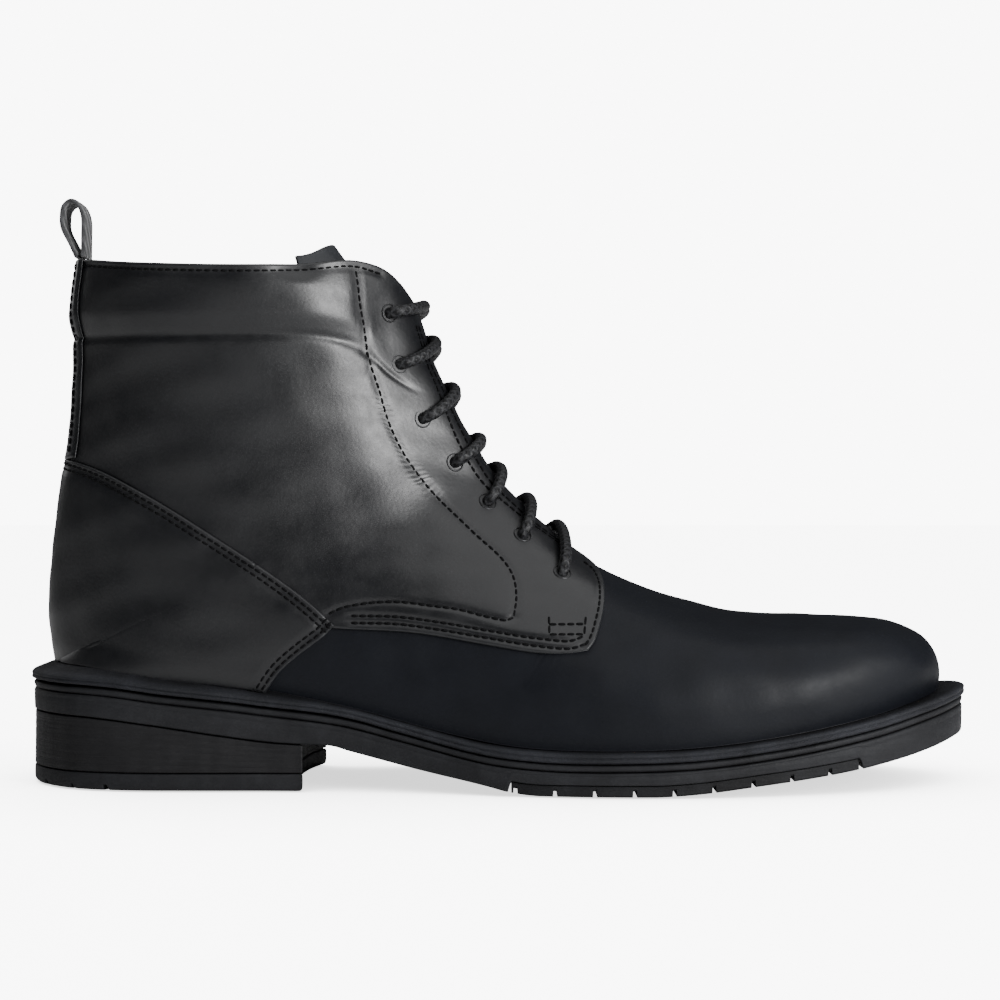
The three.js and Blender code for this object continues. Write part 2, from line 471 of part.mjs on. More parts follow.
function quarterLinings() {
  const depth = -LAYER;
  const zone = prism([...lowered(COLLAR, 0, -0.6), [-5, 160], [30, 110], [25.5, 90], [25.5, 0], [-170, 0]]);
  const layer = shell({ stations: [...LEG_STATIONS], turns: TURNS, outer: depth, inner: depth - 1 }).intersect(zone);
  const foamTurns = TURNS.filter((t) => Math.abs(t) < 0.9);
  const foam = shell({ stations: LEG_STATIONS, turns: foamTurns, outer: 0, inner: -LEATHER });
  const foamZone = prism([...lowered(COLLAR, 0, -3).slice(0, 15), [-45.6, 158], [-46, 139], ...[...FOAM_LOWER].slice(0, 2).reverse()]);
  for (const [name, side] of SIDES) {
    const facing = bodyOfFacings.translate([-GAP, 0, -GAP]).add(box(-46.3, -90, 100, 60, 90, 220));
    add("lining_" + name, "lining", layer.intersect(halfSpace(side)).subtract(facing));
    add("collar_foam_" + name, "foam", foam.intersect(foamZone).intersect(halfSpace(side)).subtract(facing));
  }
}

function backStrip() {
  const half = 7.5, stations = steps(21, 25);
  const outer = 2 * LAYER + 0.2, inner = outer - LEATHER;
  const across = (k, depth) => [-1, -0.5, 0, 0.5, 1].map((u) => {
    const p = skin(k, Math.sign(u) * (1 - (Math.abs(u) * half) / 62), depth);
    return u === 0 ? skin(k, 1, depth) : p;
  });
  const zone = prism([[-170, 107], ...lowered(COUNTER_TOP.slice(0, 4), 0, 1.6), [-100, 168], ...COLLAR.slice(0, 5).reverse()]);
  add("back_strip", "leather", between(stations.map((k) => across(k, outer)), stations.map((k) => across(k, inner))).intersect(zone));
}

// ---------------------------------------------------------------- eyelets and laces
// Side-view places of the holes, lowest first; both facings have the same.
const HOLES = [[19.4, 67.2], [6.8, 79.2], [-4.5, 90.0], [-15.2, 103.0], [-25.6, 117.2], [-33.0, 134.6], [-36.2, 151.0]];
const holeAt = HOLES.map(([x, z]) => [-1, 1].map((side) => locate(x, z, side)));

function cylinderAlong([k, turn], radius, from, to) {
  const n = normal(k, turn), g = new THREE.CylinderGeometry(radius, radius, to - from, 8);
  const q = new THREE.Quaternion().setFromUnitVectors(new THREE.Vector3(0, 1, 0), n);
  const p = skin(k, turn, (from + to) / 2);
  return solid(g.applyQuaternion(q).translate(p.x, p.y, p.z));
}

function eyelet([k, turn]) {
  const inside = -2.05, barrelTop = 1.1, thick = 0.5;
  const outer = EYELET_R + EYELET_WALL;
  const profile = [[EYELET_R, inside - thick], [outer + EYELET_FLANGE, inside - thick], [outer + EYELET_FLANGE, inside],
    [outer, inside], [outer, barrelTop], [EYELET_R, barrelTop], [EYELET_R, inside - thick]]
    .map(([x, y]) => new THREE.Vector2(x, y));
  const g = new THREE.LatheGeometry(profile, 8);
  const q = new THREE.Quaternion().setFromUnitVectors(new THREE.Vector3(0, 1, 0), normal(k, turn));
  const p = surface(k, turn);
  return solid(g.applyQuaternion(q).translate(p.x, p.y, p.z));
}

// A round cord through a list of points.
function cord(points, radius, steps, sides = 8) {
  const section = new THREE.Shape(range(0, sides - 1, sides - 1).map((i) => {
    const angle = (2 * Math.PI * i) / sides;
    return new THREE.Vector2(radius * Math.cos(angle), radius * Math.sin(angle));
  }));
  const extrudePath = new THREE.CatmullRomCurve3(points, false, "centripetal");
  return solid(new THREE.ExtrudeGeometry(section, { steps, extrudePath, bevelEnabled: false }));
}

// The lace's way from one hole to the next, as [part of the way, height over the surface] in three stretches:
// over its own facing, across the gap (-1 to 1, edge to edge), and in under the other facing.
const OVER_OWN_FACING = [[0, LACE_UNDER], [0, -0.6], [0, 1.4], [0.12, 3.5], [0.45, 4.1]];
const GAP_ON_TOP = [[-1, 4.1], [-0.55, 4.1], [-0.1, 4.0], [0.22, 3.6], [0.45, 2.6], [0.66, -0.3], [0.82, -3.1]];
const GAP_BELOW = [[-1, 4.1], [-0.74, 3.6], [-0.5, 2.0], [-0.27, 0.1], [0, -1.5], [0.35, -2.9], [0.75, -3.8]];
const UNDER_OTHER_FACING = [[0.35, LACE_UNDER], [0.75, LACE_UNDER]];
const LACE_CLIMB = 1.35; // over 1: the lace crosses nearly square to the facings, and climbs mostly under the second one

// The turn at which station k reaches the edge of the facing on that side.
function facingEdge(k, side) {
  let low = 0, high = 0.5;
  for (let i = 0; i < 20; i++) {
    const middle = (low + high) / 2;
    if (Math.abs(surface(k, side * middle).y) < FACING_GAP) low = middle;
    else high = middle;
  }
  return side * low;
}

function crossing(from, to, acrossGap) {
  const mix = (a, b, u) => a + (b - a) * u;
  const wayAlong = (turn) => mix(from[0], to[0], ((turn - from[1]) / (to[1] - from[1])) ** LACE_CLIMB);
  const own = facingEdge(mix(from[0], to[0], 0.3), Math.sign(from[1]));
  const other = facingEdge(mix(from[0], to[0], 0.7), Math.sign(to[1]));
  const turnsAndHeights = [
    ...OVER_OWN_FACING.map(([u, height]) => [mix(from[1], own, u), height]),
    ...acrossGap.map(([u, height]) => [mix(own, other, (u + 1) / 2), height]),
    ...UNDER_OTHER_FACING.map(([u, height]) => [mix(other, to[1], u), height]),
  ];
  return turnsAndHeights.map(([turn, height]) => skin(wayAlong(turn), turn, height));
}

// One half of the lace, from the hidden bar under the lowest holes to where it goes in under the facing at the top.
function laceHalf(first) {
  const points = [];
  for (let row = 0; row < HOLES.length; row++) {
    const side = (first + row) % 2, top = row === HOLES.length - 1;
    const next = top ? [holeAt[row][1 - side][0] + 0.6, holeAt[row][1 - side][1]] : holeAt[row + 1][1 - side];
    points.push(...crossing(holeAt[row][side], next, side === 0 ? GAP_ON_TOP : GAP_BELOW));
  }
  return points;
}

// A loose end: back between the tongue and the lining, down inside the shaft, and along the footbed to its tip.
function laceEnd(side) {
  const wing = [[24.55, 0.17, -5.2], [24.4, 0.24, -6.4], [24.1, 0.31, -7.0], [23.6, 0.37, -6.8], [22.9, 0.41, -5.8]];
  const hang = [[-78, 142], ...[126, 108, 90, 74, 60, 50].map((z) => [LACE_HANGS_AT, z])]
    .map(([x, z]) => [...locate(x, z, side), -5.4]);
  const floor = (x) => weltTop(x) + 2 * GAP + BOARD + FOOTBED + LACE_R + 0.5;
  const lying = [[-86, 21], [-76, 17.5], [-65, 15], [-54, 13]].map(([x, y]) => new THREE.Vector3(x, side * y, floor(x)));
  return [...wing.map(([k, t, height]) => skin(k, side * t, height)), ...hang.map((at) => skin(...at)), ...lying];
}

function laces() {
  const bar = [-0.55, -0.2, 0.2, 0.55].map((u) => skin(holeAt[0][0][0], u * Math.abs(holeAt[0][0][1]), LACE_UNDER));
  add("lace", "lace", cord([...laceHalf(0).reverse(), ...bar, ...laceHalf(1)], LACE_R, 170, 6));
  for (const [name, side] of SIDES) {
    const path = laceEnd(side), end = path[path.length - 1], before = path[path.length - 2];
    add("lace_end_" + name, "lace", cord(path, LACE_R, 28));
    const along = end.clone().sub(before).normalize();
    const aglet = [0.4, AGLET_LENGTH].map((d) => end.clone().addScaledVector(along, d));
    add("aglet_" + name, "black_metal", cord(aglet, AGLET_R, 1));
  }
}

// ---------------------------------------------------------------- the tongue and the pull loop
function tongue() {
  const stations = [8.9, 10, 12, 14.5, 17, 19, 20.5, 22, 23.2, 24.2, 25, 25.9];
  const spread = [0.08, 0.16, 0.25, 0.335];
  const turns = [...spread.map((t) => -t).reverse(), 0, ...spread];
  const lean = (k) => 1.15 * Math.max(k - 20, 0) + 5.2 * Math.max(k - 24.6, 0); // the top falls back from the facings
  const layer = (outer) => shell({ stations, turns, outer: (k) => -outer - lean(k), inner: (k) => -outer - LEATHER - lean(k) });
  const top = smoothed([[-40, 178.6], [-47, 177.6], [-53, 177], [-57.5, 175.2], [-61.5, 172], [-65.5, 169.2], [-72, 168], [-90, 167.6]], 12);
  const zone = prism([[30, 50], [30, 100], [20, 180], ...top, [-90, 100], [-40, 84], [-8, 62], [10, 50]]);
  add("tongue", "leather", layer(TONGUE_DEPTH).intersect(zone));
  add("tongue_lining", "lining", layer(TONGUE_DEPTH + LAYER).intersect(zone));
}

// The loop is one strip of webbing; its two ends are sewn down at the collar as a separate tab.
const LOOP = [[-136.4, 170.9], [-136.3, 177.2], [-136.5, 184.6], [-138.1, 188.1], [-140.4, 189.1], [-142.6, 187.4],
  [-143.3, 184], [-143, 180.3], [-140.4, 175], [-138.5, 170.9]];

function pullLoop() {
  const line = new THREE.CatmullRomCurve3(LOOP.map(([x, z]) => new THREE.Vector3(x, 0, z)), false, "centripetal");
  const count = 26, half = LOOP_WIDTH / 2, points = line.getPoints(count);
  const side = (sign) => points.map((p, i) => {
    const t = line.getTangent(i / count), n = new THREE.Vector3(t.z, 0, -t.x).multiplyScalar((sign * LOOP_THICK) / 2);
    return [-half, half].map((y) => p.clone().add(n).setY(y));
  });
  add("pull_loop", "webbing", between(side(1), side(-1)));
  const turns = [0.86, 1];
  const row = (k, depth) => [...turns.map((t) => -t), ...turns.slice(0, -1).reverse()].map((t) => skin(k, t, depth));
  const face = (depth) => [22, 23.5, 25].map((k) => row(k, depth));
  add("pull_loop_base", "webbing", between(face(0), face(-1.0)).intersect(box(-170, -half, 146, -100, half, 170.3)));
}

soleLayers();
outsole();
heel();
const holeCuts = holeAt.flat().map((at) => cylinderAlong(at, EYELET_R + EYELET_WALL + GAP, -4, 5));
quarters(holeCuts);
heelPanels();
vamp();
quarterLinings();
backStrip();
holeAt.forEach((pair, row) => pair.forEach((at, i) => add("eyelet_" + SIDES[i][0] + "_" + (row + 1), "black_metal", eyelet(at))));
laces();
tongue();
pullLoop();

export default boot;
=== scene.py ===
"""Looks of a black leather lace-up ankle boot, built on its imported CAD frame.

Shapes are worked out in millimetres, in the frame's own axes, and become metres when a mesh is made.
"""

import json
import math

import bmesh
import bpy
import numpy as np
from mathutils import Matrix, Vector

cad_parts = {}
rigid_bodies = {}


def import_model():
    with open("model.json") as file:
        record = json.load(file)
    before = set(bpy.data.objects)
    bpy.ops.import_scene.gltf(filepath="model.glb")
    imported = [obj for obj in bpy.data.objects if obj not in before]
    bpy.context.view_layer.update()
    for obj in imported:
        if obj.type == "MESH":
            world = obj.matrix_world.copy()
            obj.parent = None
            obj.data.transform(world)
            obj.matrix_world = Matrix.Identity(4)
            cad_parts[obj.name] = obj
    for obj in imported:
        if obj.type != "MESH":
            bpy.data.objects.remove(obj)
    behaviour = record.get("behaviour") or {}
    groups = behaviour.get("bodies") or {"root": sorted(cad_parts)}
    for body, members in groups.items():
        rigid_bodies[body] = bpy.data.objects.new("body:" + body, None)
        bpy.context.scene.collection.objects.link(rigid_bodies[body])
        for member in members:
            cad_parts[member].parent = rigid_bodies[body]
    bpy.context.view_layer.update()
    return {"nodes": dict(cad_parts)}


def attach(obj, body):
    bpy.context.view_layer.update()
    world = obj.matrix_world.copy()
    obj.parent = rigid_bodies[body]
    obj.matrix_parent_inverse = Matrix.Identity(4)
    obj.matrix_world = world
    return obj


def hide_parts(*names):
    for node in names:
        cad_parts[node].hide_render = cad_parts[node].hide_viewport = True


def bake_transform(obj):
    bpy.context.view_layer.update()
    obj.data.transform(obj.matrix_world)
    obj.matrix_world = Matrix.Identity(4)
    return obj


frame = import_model()
NODES = frame["nodes"]

# ------------------------------------------------------------------ driving dimensions, in millimetres
MM = 0.001
LEATHER = 1.2
QUARTER_FACE = 1.5  # heights of the panels' outer faces over the vamp's
COUNTER_FACE = 3.0
STRIP_FACE = 3.2
LINING_FACE = -1.5
WELT, MIDSOLE, TREAD = 3.2, 2.2, 3.4
BOARD, FOOTBED, GAP = 2.0, 2.5, 0.3
FACING_GAP = 7.5
LACE_R, LACE_UNDER, LACE_HANGS_AT = 1.9, -4.6, -92
EYELET_R = 2.6
TONGUE_DEPTH = 7.6
THREAD, STITCH_PITCH = 0.72, 2.55
BRAID_PITCH, BRAID_STRANDS = 2.6, 4
BACK_TURN = 62  # length of surface to a turn beside the back seam
STRIP_HALF, STRIP_SEAM, WEBBING_HALF = 7.2, 5.4, 6.8  # half widths at the back seam
LENS, CAMERA_AT = 76.4, (0, -0.7, 0.0912)


# ------------------------------------------------------------------ curves
def smooth(points, count):
    """A smooth line through points, as count + 1 points evenly spaced along it."""
    p = np.array(points, float)
    s = np.concatenate([[0], np.cumsum(np.linalg.norm(np.diff(p, axis=0), axis=1) ** 0.5)])
    slope = np.diff(p, axis=0) / np.diff(s)[:, None]
    before, after = np.diff(s)[:-1, None], np.diff(s)[1:, None]
    middle = (slope[:-1] * after + slope[1:] * before) / (before + after)
    tangent = np.vstack([slope[:1], middle, slope[-1:]])
    x = np.linspace(0, s[-1], 24 * len(p))
    i = np.clip(np.searchsorted(s, x, side="right") - 1, 0, len(p) - 2)
    h = (s[i + 1] - s[i])[:, None]
    u = ((x - s[i]) / (s[i + 1] - s[i]))[:, None]
    line = (p[i] * (1 + 2 * u) * (1 - u) ** 2 + p[i + 1] * u * u * (3 - 2 * u)
            + tangent[i] * h * u * (1 - u) ** 2 - tangent[i + 1] * h * u * u * (1 - u))
    return resample(line, np.linspace(0, 1, count + 1))


def resample(line, shares):
    """Points at those shares of a line's length."""
    line = np.array(line, float)
    length = np.concatenate([[0], np.cumsum(np.linalg.norm(np.diff(line, axis=0), axis=1))])
    at = np.array(shares) * length[-1]
    return np.column_stack([np.interp(at, length, line[:, c]) for c in range(line.shape[1])])


def height_curve(points):
    line = smooth(points, 400)
    return lambda x: np.interp(x, line[:, 0], line[:, 1])


def offset_line(line, distance):
    """A line beside a flat line of [x, z] points, to its left for a positive distance."""
    line = np.array(line, float)
    along = np.gradient(line, axis=0)
    along /= np.linalg.norm(along, axis=1)[:, None]
    return line + distance * np.column_stack([-along[:, 1], along[:, 0]])


def spaced(count, length, fine=(0.12, 0.3, 0.6, 1.1)):
    """Shares from 0 to 1, with extra ones close to both ends at those distances in millimetres."""
    ends = np.array([f / length for f in fine])
    middle = np.linspace(0, 1, count + 1)[1:-1]
    middle = middle[(middle > ends[-1] * 1.5) & (middle < 1 - ends[-1] * 1.5)]
    return np.concatenate([[0], ends, middle, 1 - ends[::-1], [1]])


welt_top = height_curve([[-153, 37.6], [-125, 36.6], [-105, 34.2], [-80, 31.4], [-52, 27.0], [-31, 21.8],
                         [-5, 15.6], [12, 13.8], [30, 13.5], [60, 14.4], [86, 17.4], [103, 20.1],
                         [120, 23.4], [135, 27.0], [153, 31.0]])
underside = height_curve([[-66, 14.6], [-53, 14.2], [-47, 12.6], [-26, 7.4], [-5, 2.9], [4, 0.8], [12, 0],
                          [48, 0], [62, 0.9], [78, 2.8], [98, 5.2], [112, 7.2], [130, 10.6], [153, 16.0]])

# ------------------------------------------------------------------ the upper's surface
# ridge x, z, y | base x, z (0: on the welt) | base y outer, inner | half width outer, inner |
# how far up it is widest | roundness
STATIONS = np.array([
    [144.6, 31.4, 5.0, 144.6, 0, 5.0, 5.0, 0.0, 0.0, 0.70, 2.2],
    [144.8, 35.8, 5.0, 143.7, 0, -3.0, 13.0, 8.8, 8.8, 0.68, 2.2],
    [143.2, 42.5, 5.0, 140.0, 0, -11.0, 20.5, 17.0, 16.5, 0.68, 2.2],
    [138.4, 48.2, 5.0, 132.0, 0, -21.0, 28.0, 27.2, 24.4, 0.69, 2.3],
    [125.0, 53.0, 5.0, 118.0, 0, -31.5, 35.0, 37.7, 31.4, 0.70, 2.3],
    [105.0, 54.2, 5.0, 99.0, 0, -40.0, 40.5, 46.2, 36.8, 0.72, 2.3],
    [82.0, 54.6, 4.5, 78.0, 0, -45.5, 44.0, 50.9, 40.8, 0.74, 2.2],
    [60.0, 59.6, 4.0, 55.0, 0, -47.8, 46.0, 52.6, 43.2, 0.75, 2.1],
    [38.5, 67.6, 3.5, 30.0, 0, -47.0, 44.5, 51.2, 42.2, 0.74, 2.0],
    [23.5, 75.0, 3.0, 5.0, 0, -43.0, 38.5, 47.0, 38.0, 0.72, 1.95],
    [14.6, 82.2, 2.5, -20.0, 0, -38.0, 32.5, 42.2, 35.4, 0.69, 1.9],
    [9.0, 87.2, 2.0, -45.0, 0, -34.0, 29.0, 38.6, 33.6, 0.66, 1.9],
    [5.0, 91.0, 1.5, -70.0, 0, -31.0, 28.5, 36.0, 33.0, 0.64, 1.9],
    [1.6, 94.4, 1.0, -95.0, 0, -30.0, 29.0, 34.4, 32.4, 0.62, 1.9],
    [-1.2, 97.4, 0.5, -114.0, 0, -28.8, 28.6, 33.2, 32.0, 0.60, 1.95],
    [-3.4, 100.2, 0.3, -128.0, 0, -24.5, 24.5, 32.6, 31.8, 0.58, 2.0],
    [-5.2, 102.8, 0.0, -137.5, 0, -16.5, 16.5, 32.2, 31.6, 0.56, 2.0],
    [-6.7, 105.0, 0.0, -142.0, 0, -8.2, 8.2, 31.9, 31.5, 0.55, 2.0],
    [-8.2, 107.3, 0.0, -143.4, 0, 0.0, 0.0, 31.7, 31.4, 0.54, 2.0],
    [-11.5, 112.5, 0.0, -145.4, 58.0, 0.0, 0.0, 31.5, 31.3, 0.52, 2.0],
    [-16.0, 121.0, 0.0, -143.0, 84.0, 0.0, 0.0, 31.6, 31.6, 0.50, 2.0],
    [-20.3, 130.5, 0.0, -139.8, 106.0, 0.0, 0.0, 32.4, 32.4, 0.50, 2.0],
    [-23.8, 139.0, 0.0, -137.6, 124.0, 0.0, 0.0, 33.4, 33.4, 0.50, 2.0],
    [-27.0, 149.0, 0.0, -137.4, 140.0, 0.0, 0.0, 34.6, 34.6, 0.50, 2.0],
    [-30.2, 159.5, 0.0, -137.0, 155.0, 0.0, 0.0, 35.8, 35.8, 0.50, 2.0],
    [-33.5, 171.0, 0.0, -136.0, 171.0, 0.0, 0.0, 36.8, 36.8, 0.50, 2.0],
    [-36.5, 184.0, 0.0, -135.0, 184.0, 0.0, 0.0, 37.4, 37.4, 0.50, 2.0],
])
TOP_STATION = len(STATIONS) - 1
K_STEP, T_STEP = 0.1, 0.01
K_COUNT, T_COUNT = round(TOP_STATION / K_STEP) + 1, round(2 / T_STEP) + 1
MIDDLE = T_COUNT // 2  # the grid's column along the top of the foot
SMOOTH_ROUNDS = 120  # of averaging each point with its neighbours


def station_rows(k):
    """The stations' dimensions at fractional station numbers."""
    rows = STATIONS.copy()
    on_welt = rows[:, 4] == 0
    rows[on_welt, 4] = welt_top(rows[on_welt, 3]) + GAP
    i = np.minimum(np.floor(k).astype(int), TOP_STATION - 1)
    u = (k - i)[:, None]
    a, b, c, d = (rows[np.clip(i + n, 0, TOP_STATION)] for n in (-1, 0, 1, 2))
    return b + 0.5 * u * (c - a + u * (2 * a - 5 * b + 4 * c - d + u * (3 * (b - c) + d - a)))


def surface_grid():
    """Points of the surface for every K_STEP of a station and T_STEP of a turn, and its outward normals."""
    k = np.linspace(0, TOP_STATION, K_COUNT)
    turn = np.linspace(-1, 1, T_COUNT)[None, :]
    columns = [c[:, None] for c in station_rows(k).T]
    rx, rz, ry, bx, bz, base_outer, base_inner, wide_outer, wide_inner, widest, roundness = columns
    t, side = np.abs(turn), np.where(turn < 0, -1, 1)
    wide = np.where(turn < 0, wide_outer, wide_inner)
    base = np.maximum(side * (np.where(turn < 0, base_outer, base_inner) - ry), 0)
    top = t < 0.5
    angle = np.pi * np.minimum(t, 0.5)
    power = 2 / roundness
    last = np.pi / 2 * (1 - 0.42 * base / np.maximum(wide, 0.1))
    low = last * np.clip(2 * t - 1, 0, 1)
    down = np.where(top, widest * (1 - np.maximum(np.cos(angle), 0) ** power),
                    widest + (1 - widest) * np.sin(low) / np.sin(last))
    half = np.where(top, wide * np.sin(angle) ** power,
                    base + (wide - base) * (np.cos(low) - np.cos(last)) / (1 - np.cos(last)))
    points = np.stack([rx + (bx - rx) * down, ry + side * half, rz + (bz - rz) * down], axis=-1)
    points = softened(points)
    ridge = step(9.5 - k, 0, 2)[:, None, None] * step(0.3 - np.abs(turn), 0, 0.15)[..., None]
    for _ in range(SMOOTH_ROUNDS):
        points[:, 1:-1] += 0.25 * ridge[:, 1:-1] * (points[:, :-2] + points[:, 2:] - 2 * points[:, 1:-1])
    for columns in (slice(0, MIDDLE), slice(MIDDLE + 1, T_COUNT)):
        evened(points, grid_normals(points), columns)
    return points, softened(grid_normals(points), 10)


def grid_normals(points):
    normals = np.cross(np.gradient(points, axis=1), np.gradient(points, axis=0))
    length = np.linalg.norm(normals, axis=-1, keepdims=True)
    return normals / np.maximum(length, 1e-9)


def softened(points, rounds=14):
    """Evens out the small steps in curvature between the sections, keeping the outline where it is."""
    for _ in range(rounds):
        inner = points.copy()
        inner[1:-1] += 0.25 * (points[:-2] + points[2:] - 2 * points[1:-1])
        points = inner
        inner = points.copy()
        inner[:, 1:-1] += 0.25 * (points[:, :-2] + points[:, 2:] - 2 * points[:, 1:-1])
        points = inner
    return points


def step(value, low, high):
    """0 up to low, 1 from high on, and a smooth rise between."""
    u = np.clip((np.asarray(value, float) - low) / (high - low), 0, 1)
    return u * u * (3 - 2 * u)


def evened(points, normals, columns, cell=1.5, spread=9.0):
    """Evens out one side of the leg as it is seen from that side, where its stations turn up the heel."""
    p, faces_side = points[:, columns], np.abs(normals[:, columns, 1])
    x, y, z = p[..., 0], p[..., 1], p[..., 2]
    fx, fz = (x + 170) / cell, (z + 30) / cell  # every x is over -170, and every z over -30
    column, row = np.round(fx).astype(int), np.round(fz).astype(int)
    use = faces_side > 0.3
    count = np.zeros((240, 180))
    np.add.at(count, (column[use], row[use]), 1)
    reach = np.arange(-3 * spread / cell, 3 * spread / cell + 1)
    bell = np.exp(-0.5 * (reach * cell / spread) ** 2)

    def blurred(grid):
        for axis in (0, 1):
            grid = np.apply_along_axis(lambda line: np.convolve(line, bell, "same"), axis, grid)
        return grid

    filled = blurred((count > 0).astype(float))

    def averaged(values):
        total = np.zeros_like(count)
        np.add.at(total, (column[use], row[use]), values[use])
        mean = blurred(total / np.maximum(count, 1)) / np.maximum(filled, 1e-6)
        i, j = np.floor(fx).astype(int), np.floor(fz).astype(int)
        u, v = fx - i, fz - j
        low = mean[i, j] * (1 - u) + mean[i + 1, j] * u
        return low * (1 - v) + (mean[i, j + 1] * (1 - u) + mean[i + 1, j + 1] * u) * v

    smooth_y = averaged(y)
    smooth_y += averaged(y - smooth_y)
    share = step(averaged(faces_side), 0.5, 0.8) * step(faces_side, 0.02, 0.4) * step(z - welt_top(x), 0, 9)
    share *= step(178 - z, 0, 12) * step(60 - x, 0, 30)
    y += share * (smooth_y - y)


POINTS, NORMALS = surface_grid()


def sampled(grid, k, t):
    """The grid's value at fractional stations and turns, by a smooth cubic."""
    fi = np.clip(np.asarray(k, float) / K_STEP, 0, K_COUNT - 1.001)
    fj = np.clip((np.asarray(t, float) + 1) / T_STEP, 0, T_COUNT - 1.001)
    i, j = np.floor(fi).astype(int), np.floor(fj).astype(int)

    def weights(u):
        return (-0.5 * u + u * u - 0.5 * u ** 3, 1 - 2.5 * u * u + 1.5 * u ** 3,
                0.5 * u + 2 * u * u - 1.5 * u ** 3, -0.5 * u * u + 0.5 * u ** 3)

    total = 0
    for m, wm in enumerate(weights(fi - i)):
        for n, wn in enumerate(weights(fj - j)):
            near = grid[np.clip(i + m - 1, 0, K_COUNT - 1), np.clip(j + n - 1, 0, T_COUNT - 1)]
            total = total + (wm * wn)[..., None] * near
    return total


def normal(k, t):
    n = sampled(NORMALS, k, t)
    seam = (np.abs(t) > 0.999) & (np.asarray(k) >= 18) | (np.asarray(k) < 0.01)
    n[..., 1] = np.where(seam, 0, n[..., 1])
    return n / np.linalg.norm(n, axis=-1, keepdims=True)


def skin(k, t, outwards=0.0):
    """Surface points moved outwards, but never into the welt."""
    k, t = np.asarray(k, float), np.asarray(t, float)
    p = sampled(POINTS, k, t) + normal(k, t) * np.asarray(outwards, float)[..., None]
    p[..., 2] = np.maximum(p[..., 2], welt_top(p[..., 0]) + 0.1)
    return p


def locate(line, side):
    """The stations and turns that a side view shows at the line's [x, z] points."""
    line = np.array(line, float)
    half = POINTS[:, :MIDDLE + 1][:, ::-1] if side < 0 else POINTS[:, MIDDLE:]
    flat = half[:, :, [0, 2]].reshape(-1, 2)
    nearest = [int(np.argmin(((flat - p) ** 2).sum(1))) for p in line]
    k = np.array([n // half.shape[1] * K_STEP for n in nearest])
    t = np.array([n % half.shape[1] * T_STEP for n in nearest])
    for _ in range(25):
        here = sampled(POINTS, k, side * t)[:, [0, 2]]
        dk = (sampled(POINTS, k + 0.02, side * t)[:, [0, 2]] - here) / 0.02
        dt = (sampled(POINTS, k, side * (t + 0.002))[:, [0, 2]] - here) / 0.002
        miss = line - here
        a, b, c = (dk * dk).sum(1) + 1e-3, (dk * dt).sum(1), (dt * dt).sum(1) + 1e-1
        p, q = (dk * miss).sum(1), (dt * miss).sum(1)
        det = a * c - b * b
        k = np.clip(k + np.clip((p * c - q * b) / det, -0.1, 0.1), 0, TOP_STATION - 0.01)
        t = np.clip(t + np.clip((q * a - p * b) / det, -0.01, 0.01), 0, 1)
    return np.column_stack([k, side * t])


def at_half_width(k, y):
    """The turn at which each station reaches |y| on the side of y's sign."""
    turns = np.linspace(0, 0.4, 81) * np.sign(y)
    return np.array([np.interp(abs(y), np.abs(sampled(POINTS, np.full(81, kk), turns)[:, 1]), np.abs(turns))
                     for kk in np.atleast_1d(k)]) * np.sign(y)


# ------------------------------------------------------------------ meshes
def made(name, verts, faces, material, body=None, node=(), slot=None, edge=None, uv=None):
    """A smooth mesh object from points in millimetres, riding on a body and standing for CAD nodes."""
    mesh = bpy.data.meshes.new(name)
    mesh.from_pydata((np.asarray(verts, float) * MM).tolist(), [], [tuple(map(int, f)) for f in faces])
    mesh.validate()
    mesh.shade_smooth()
    mesh.materials.append(material)
    if edge is not None:
        mesh.attributes.new("edge", "FLOAT", "POINT").data.foreach_set("value", np.asarray(edge, np.float32))
    if uv is not None:
        layer = mesh.uv_layers.new(name="along")
        index = np.empty(len(mesh.loops), int)
        mesh.loops.foreach_get("vertex_index", index)
        layer.data.foreach_set("uv", np.asarray(uv, np.float32)[index].ravel())
    piece = bpy.data.objects.new(name, mesh)
    bpy.context.collection.objects.link(piece)
    return placed(piece, body, node)


def placed(piece, body, node):
    if body == "bends":
        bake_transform(piece)
    elif body:
        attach(piece, body)
    if node:
        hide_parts(*node)
    return piece


def grid_faces(rows, cols, start=0, flip=False, wrap=False):
    """Quads of a grid of points numbered row by row."""
    i, j = np.meshgrid(np.arange(rows - 1), np.arange(cols if wrap else cols - 1), indexing="ij")
    a = i * cols + j
    b = i * cols + (j + 1) % cols
    quads = np.stack([a, b, b + cols, a + cols], axis=-1).reshape(-1, 4) + start
    return quads[:, ::-1] if flip else quads


def walls(rows, cols, start, flip):
    """Quads that join the borders of two grids, one after the other."""
    n = rows * cols
    border = ([j for j in range(cols)] + [i * cols + cols - 1 for i in range(1, rows)]
              + [(rows - 1) * cols + j for j in range(cols - 2, -1, -1)]
              + [i * cols for i in range(rows - 2, 0, -1)])
    border = np.array(border) + start
    after = np.roll(border, -1)
    quads = np.stack([border, border + n, after + n, after], axis=-1)
    return quads[:, ::-1] if flip else quads


def from_border(points):
    """Each grid point's distance from the grid's nearest border, measured along its row and column."""
    def to_end(p, axis):
        steps = np.linalg.norm(np.diff(p, axis=axis), axis=-1)
        start = np.zeros_like(np.take(steps, [0], axis))
        before = np.concatenate([start, np.cumsum(steps, axis=axis)], axis=axis)
        return before, np.take(before, [-1], axis) - before
    up, down = to_end(points, 0)
    left, right = to_end(points, 1)
    return up, down, left, right


def rolled(distance, radius):
    """How far a face drops at that distance from its edge, for an edge rounded to that radius."""
    near = np.clip(radius - distance, 0, radius)
    return radius - np.sqrt(np.maximum(radius ** 2 - near ** 2, 0))


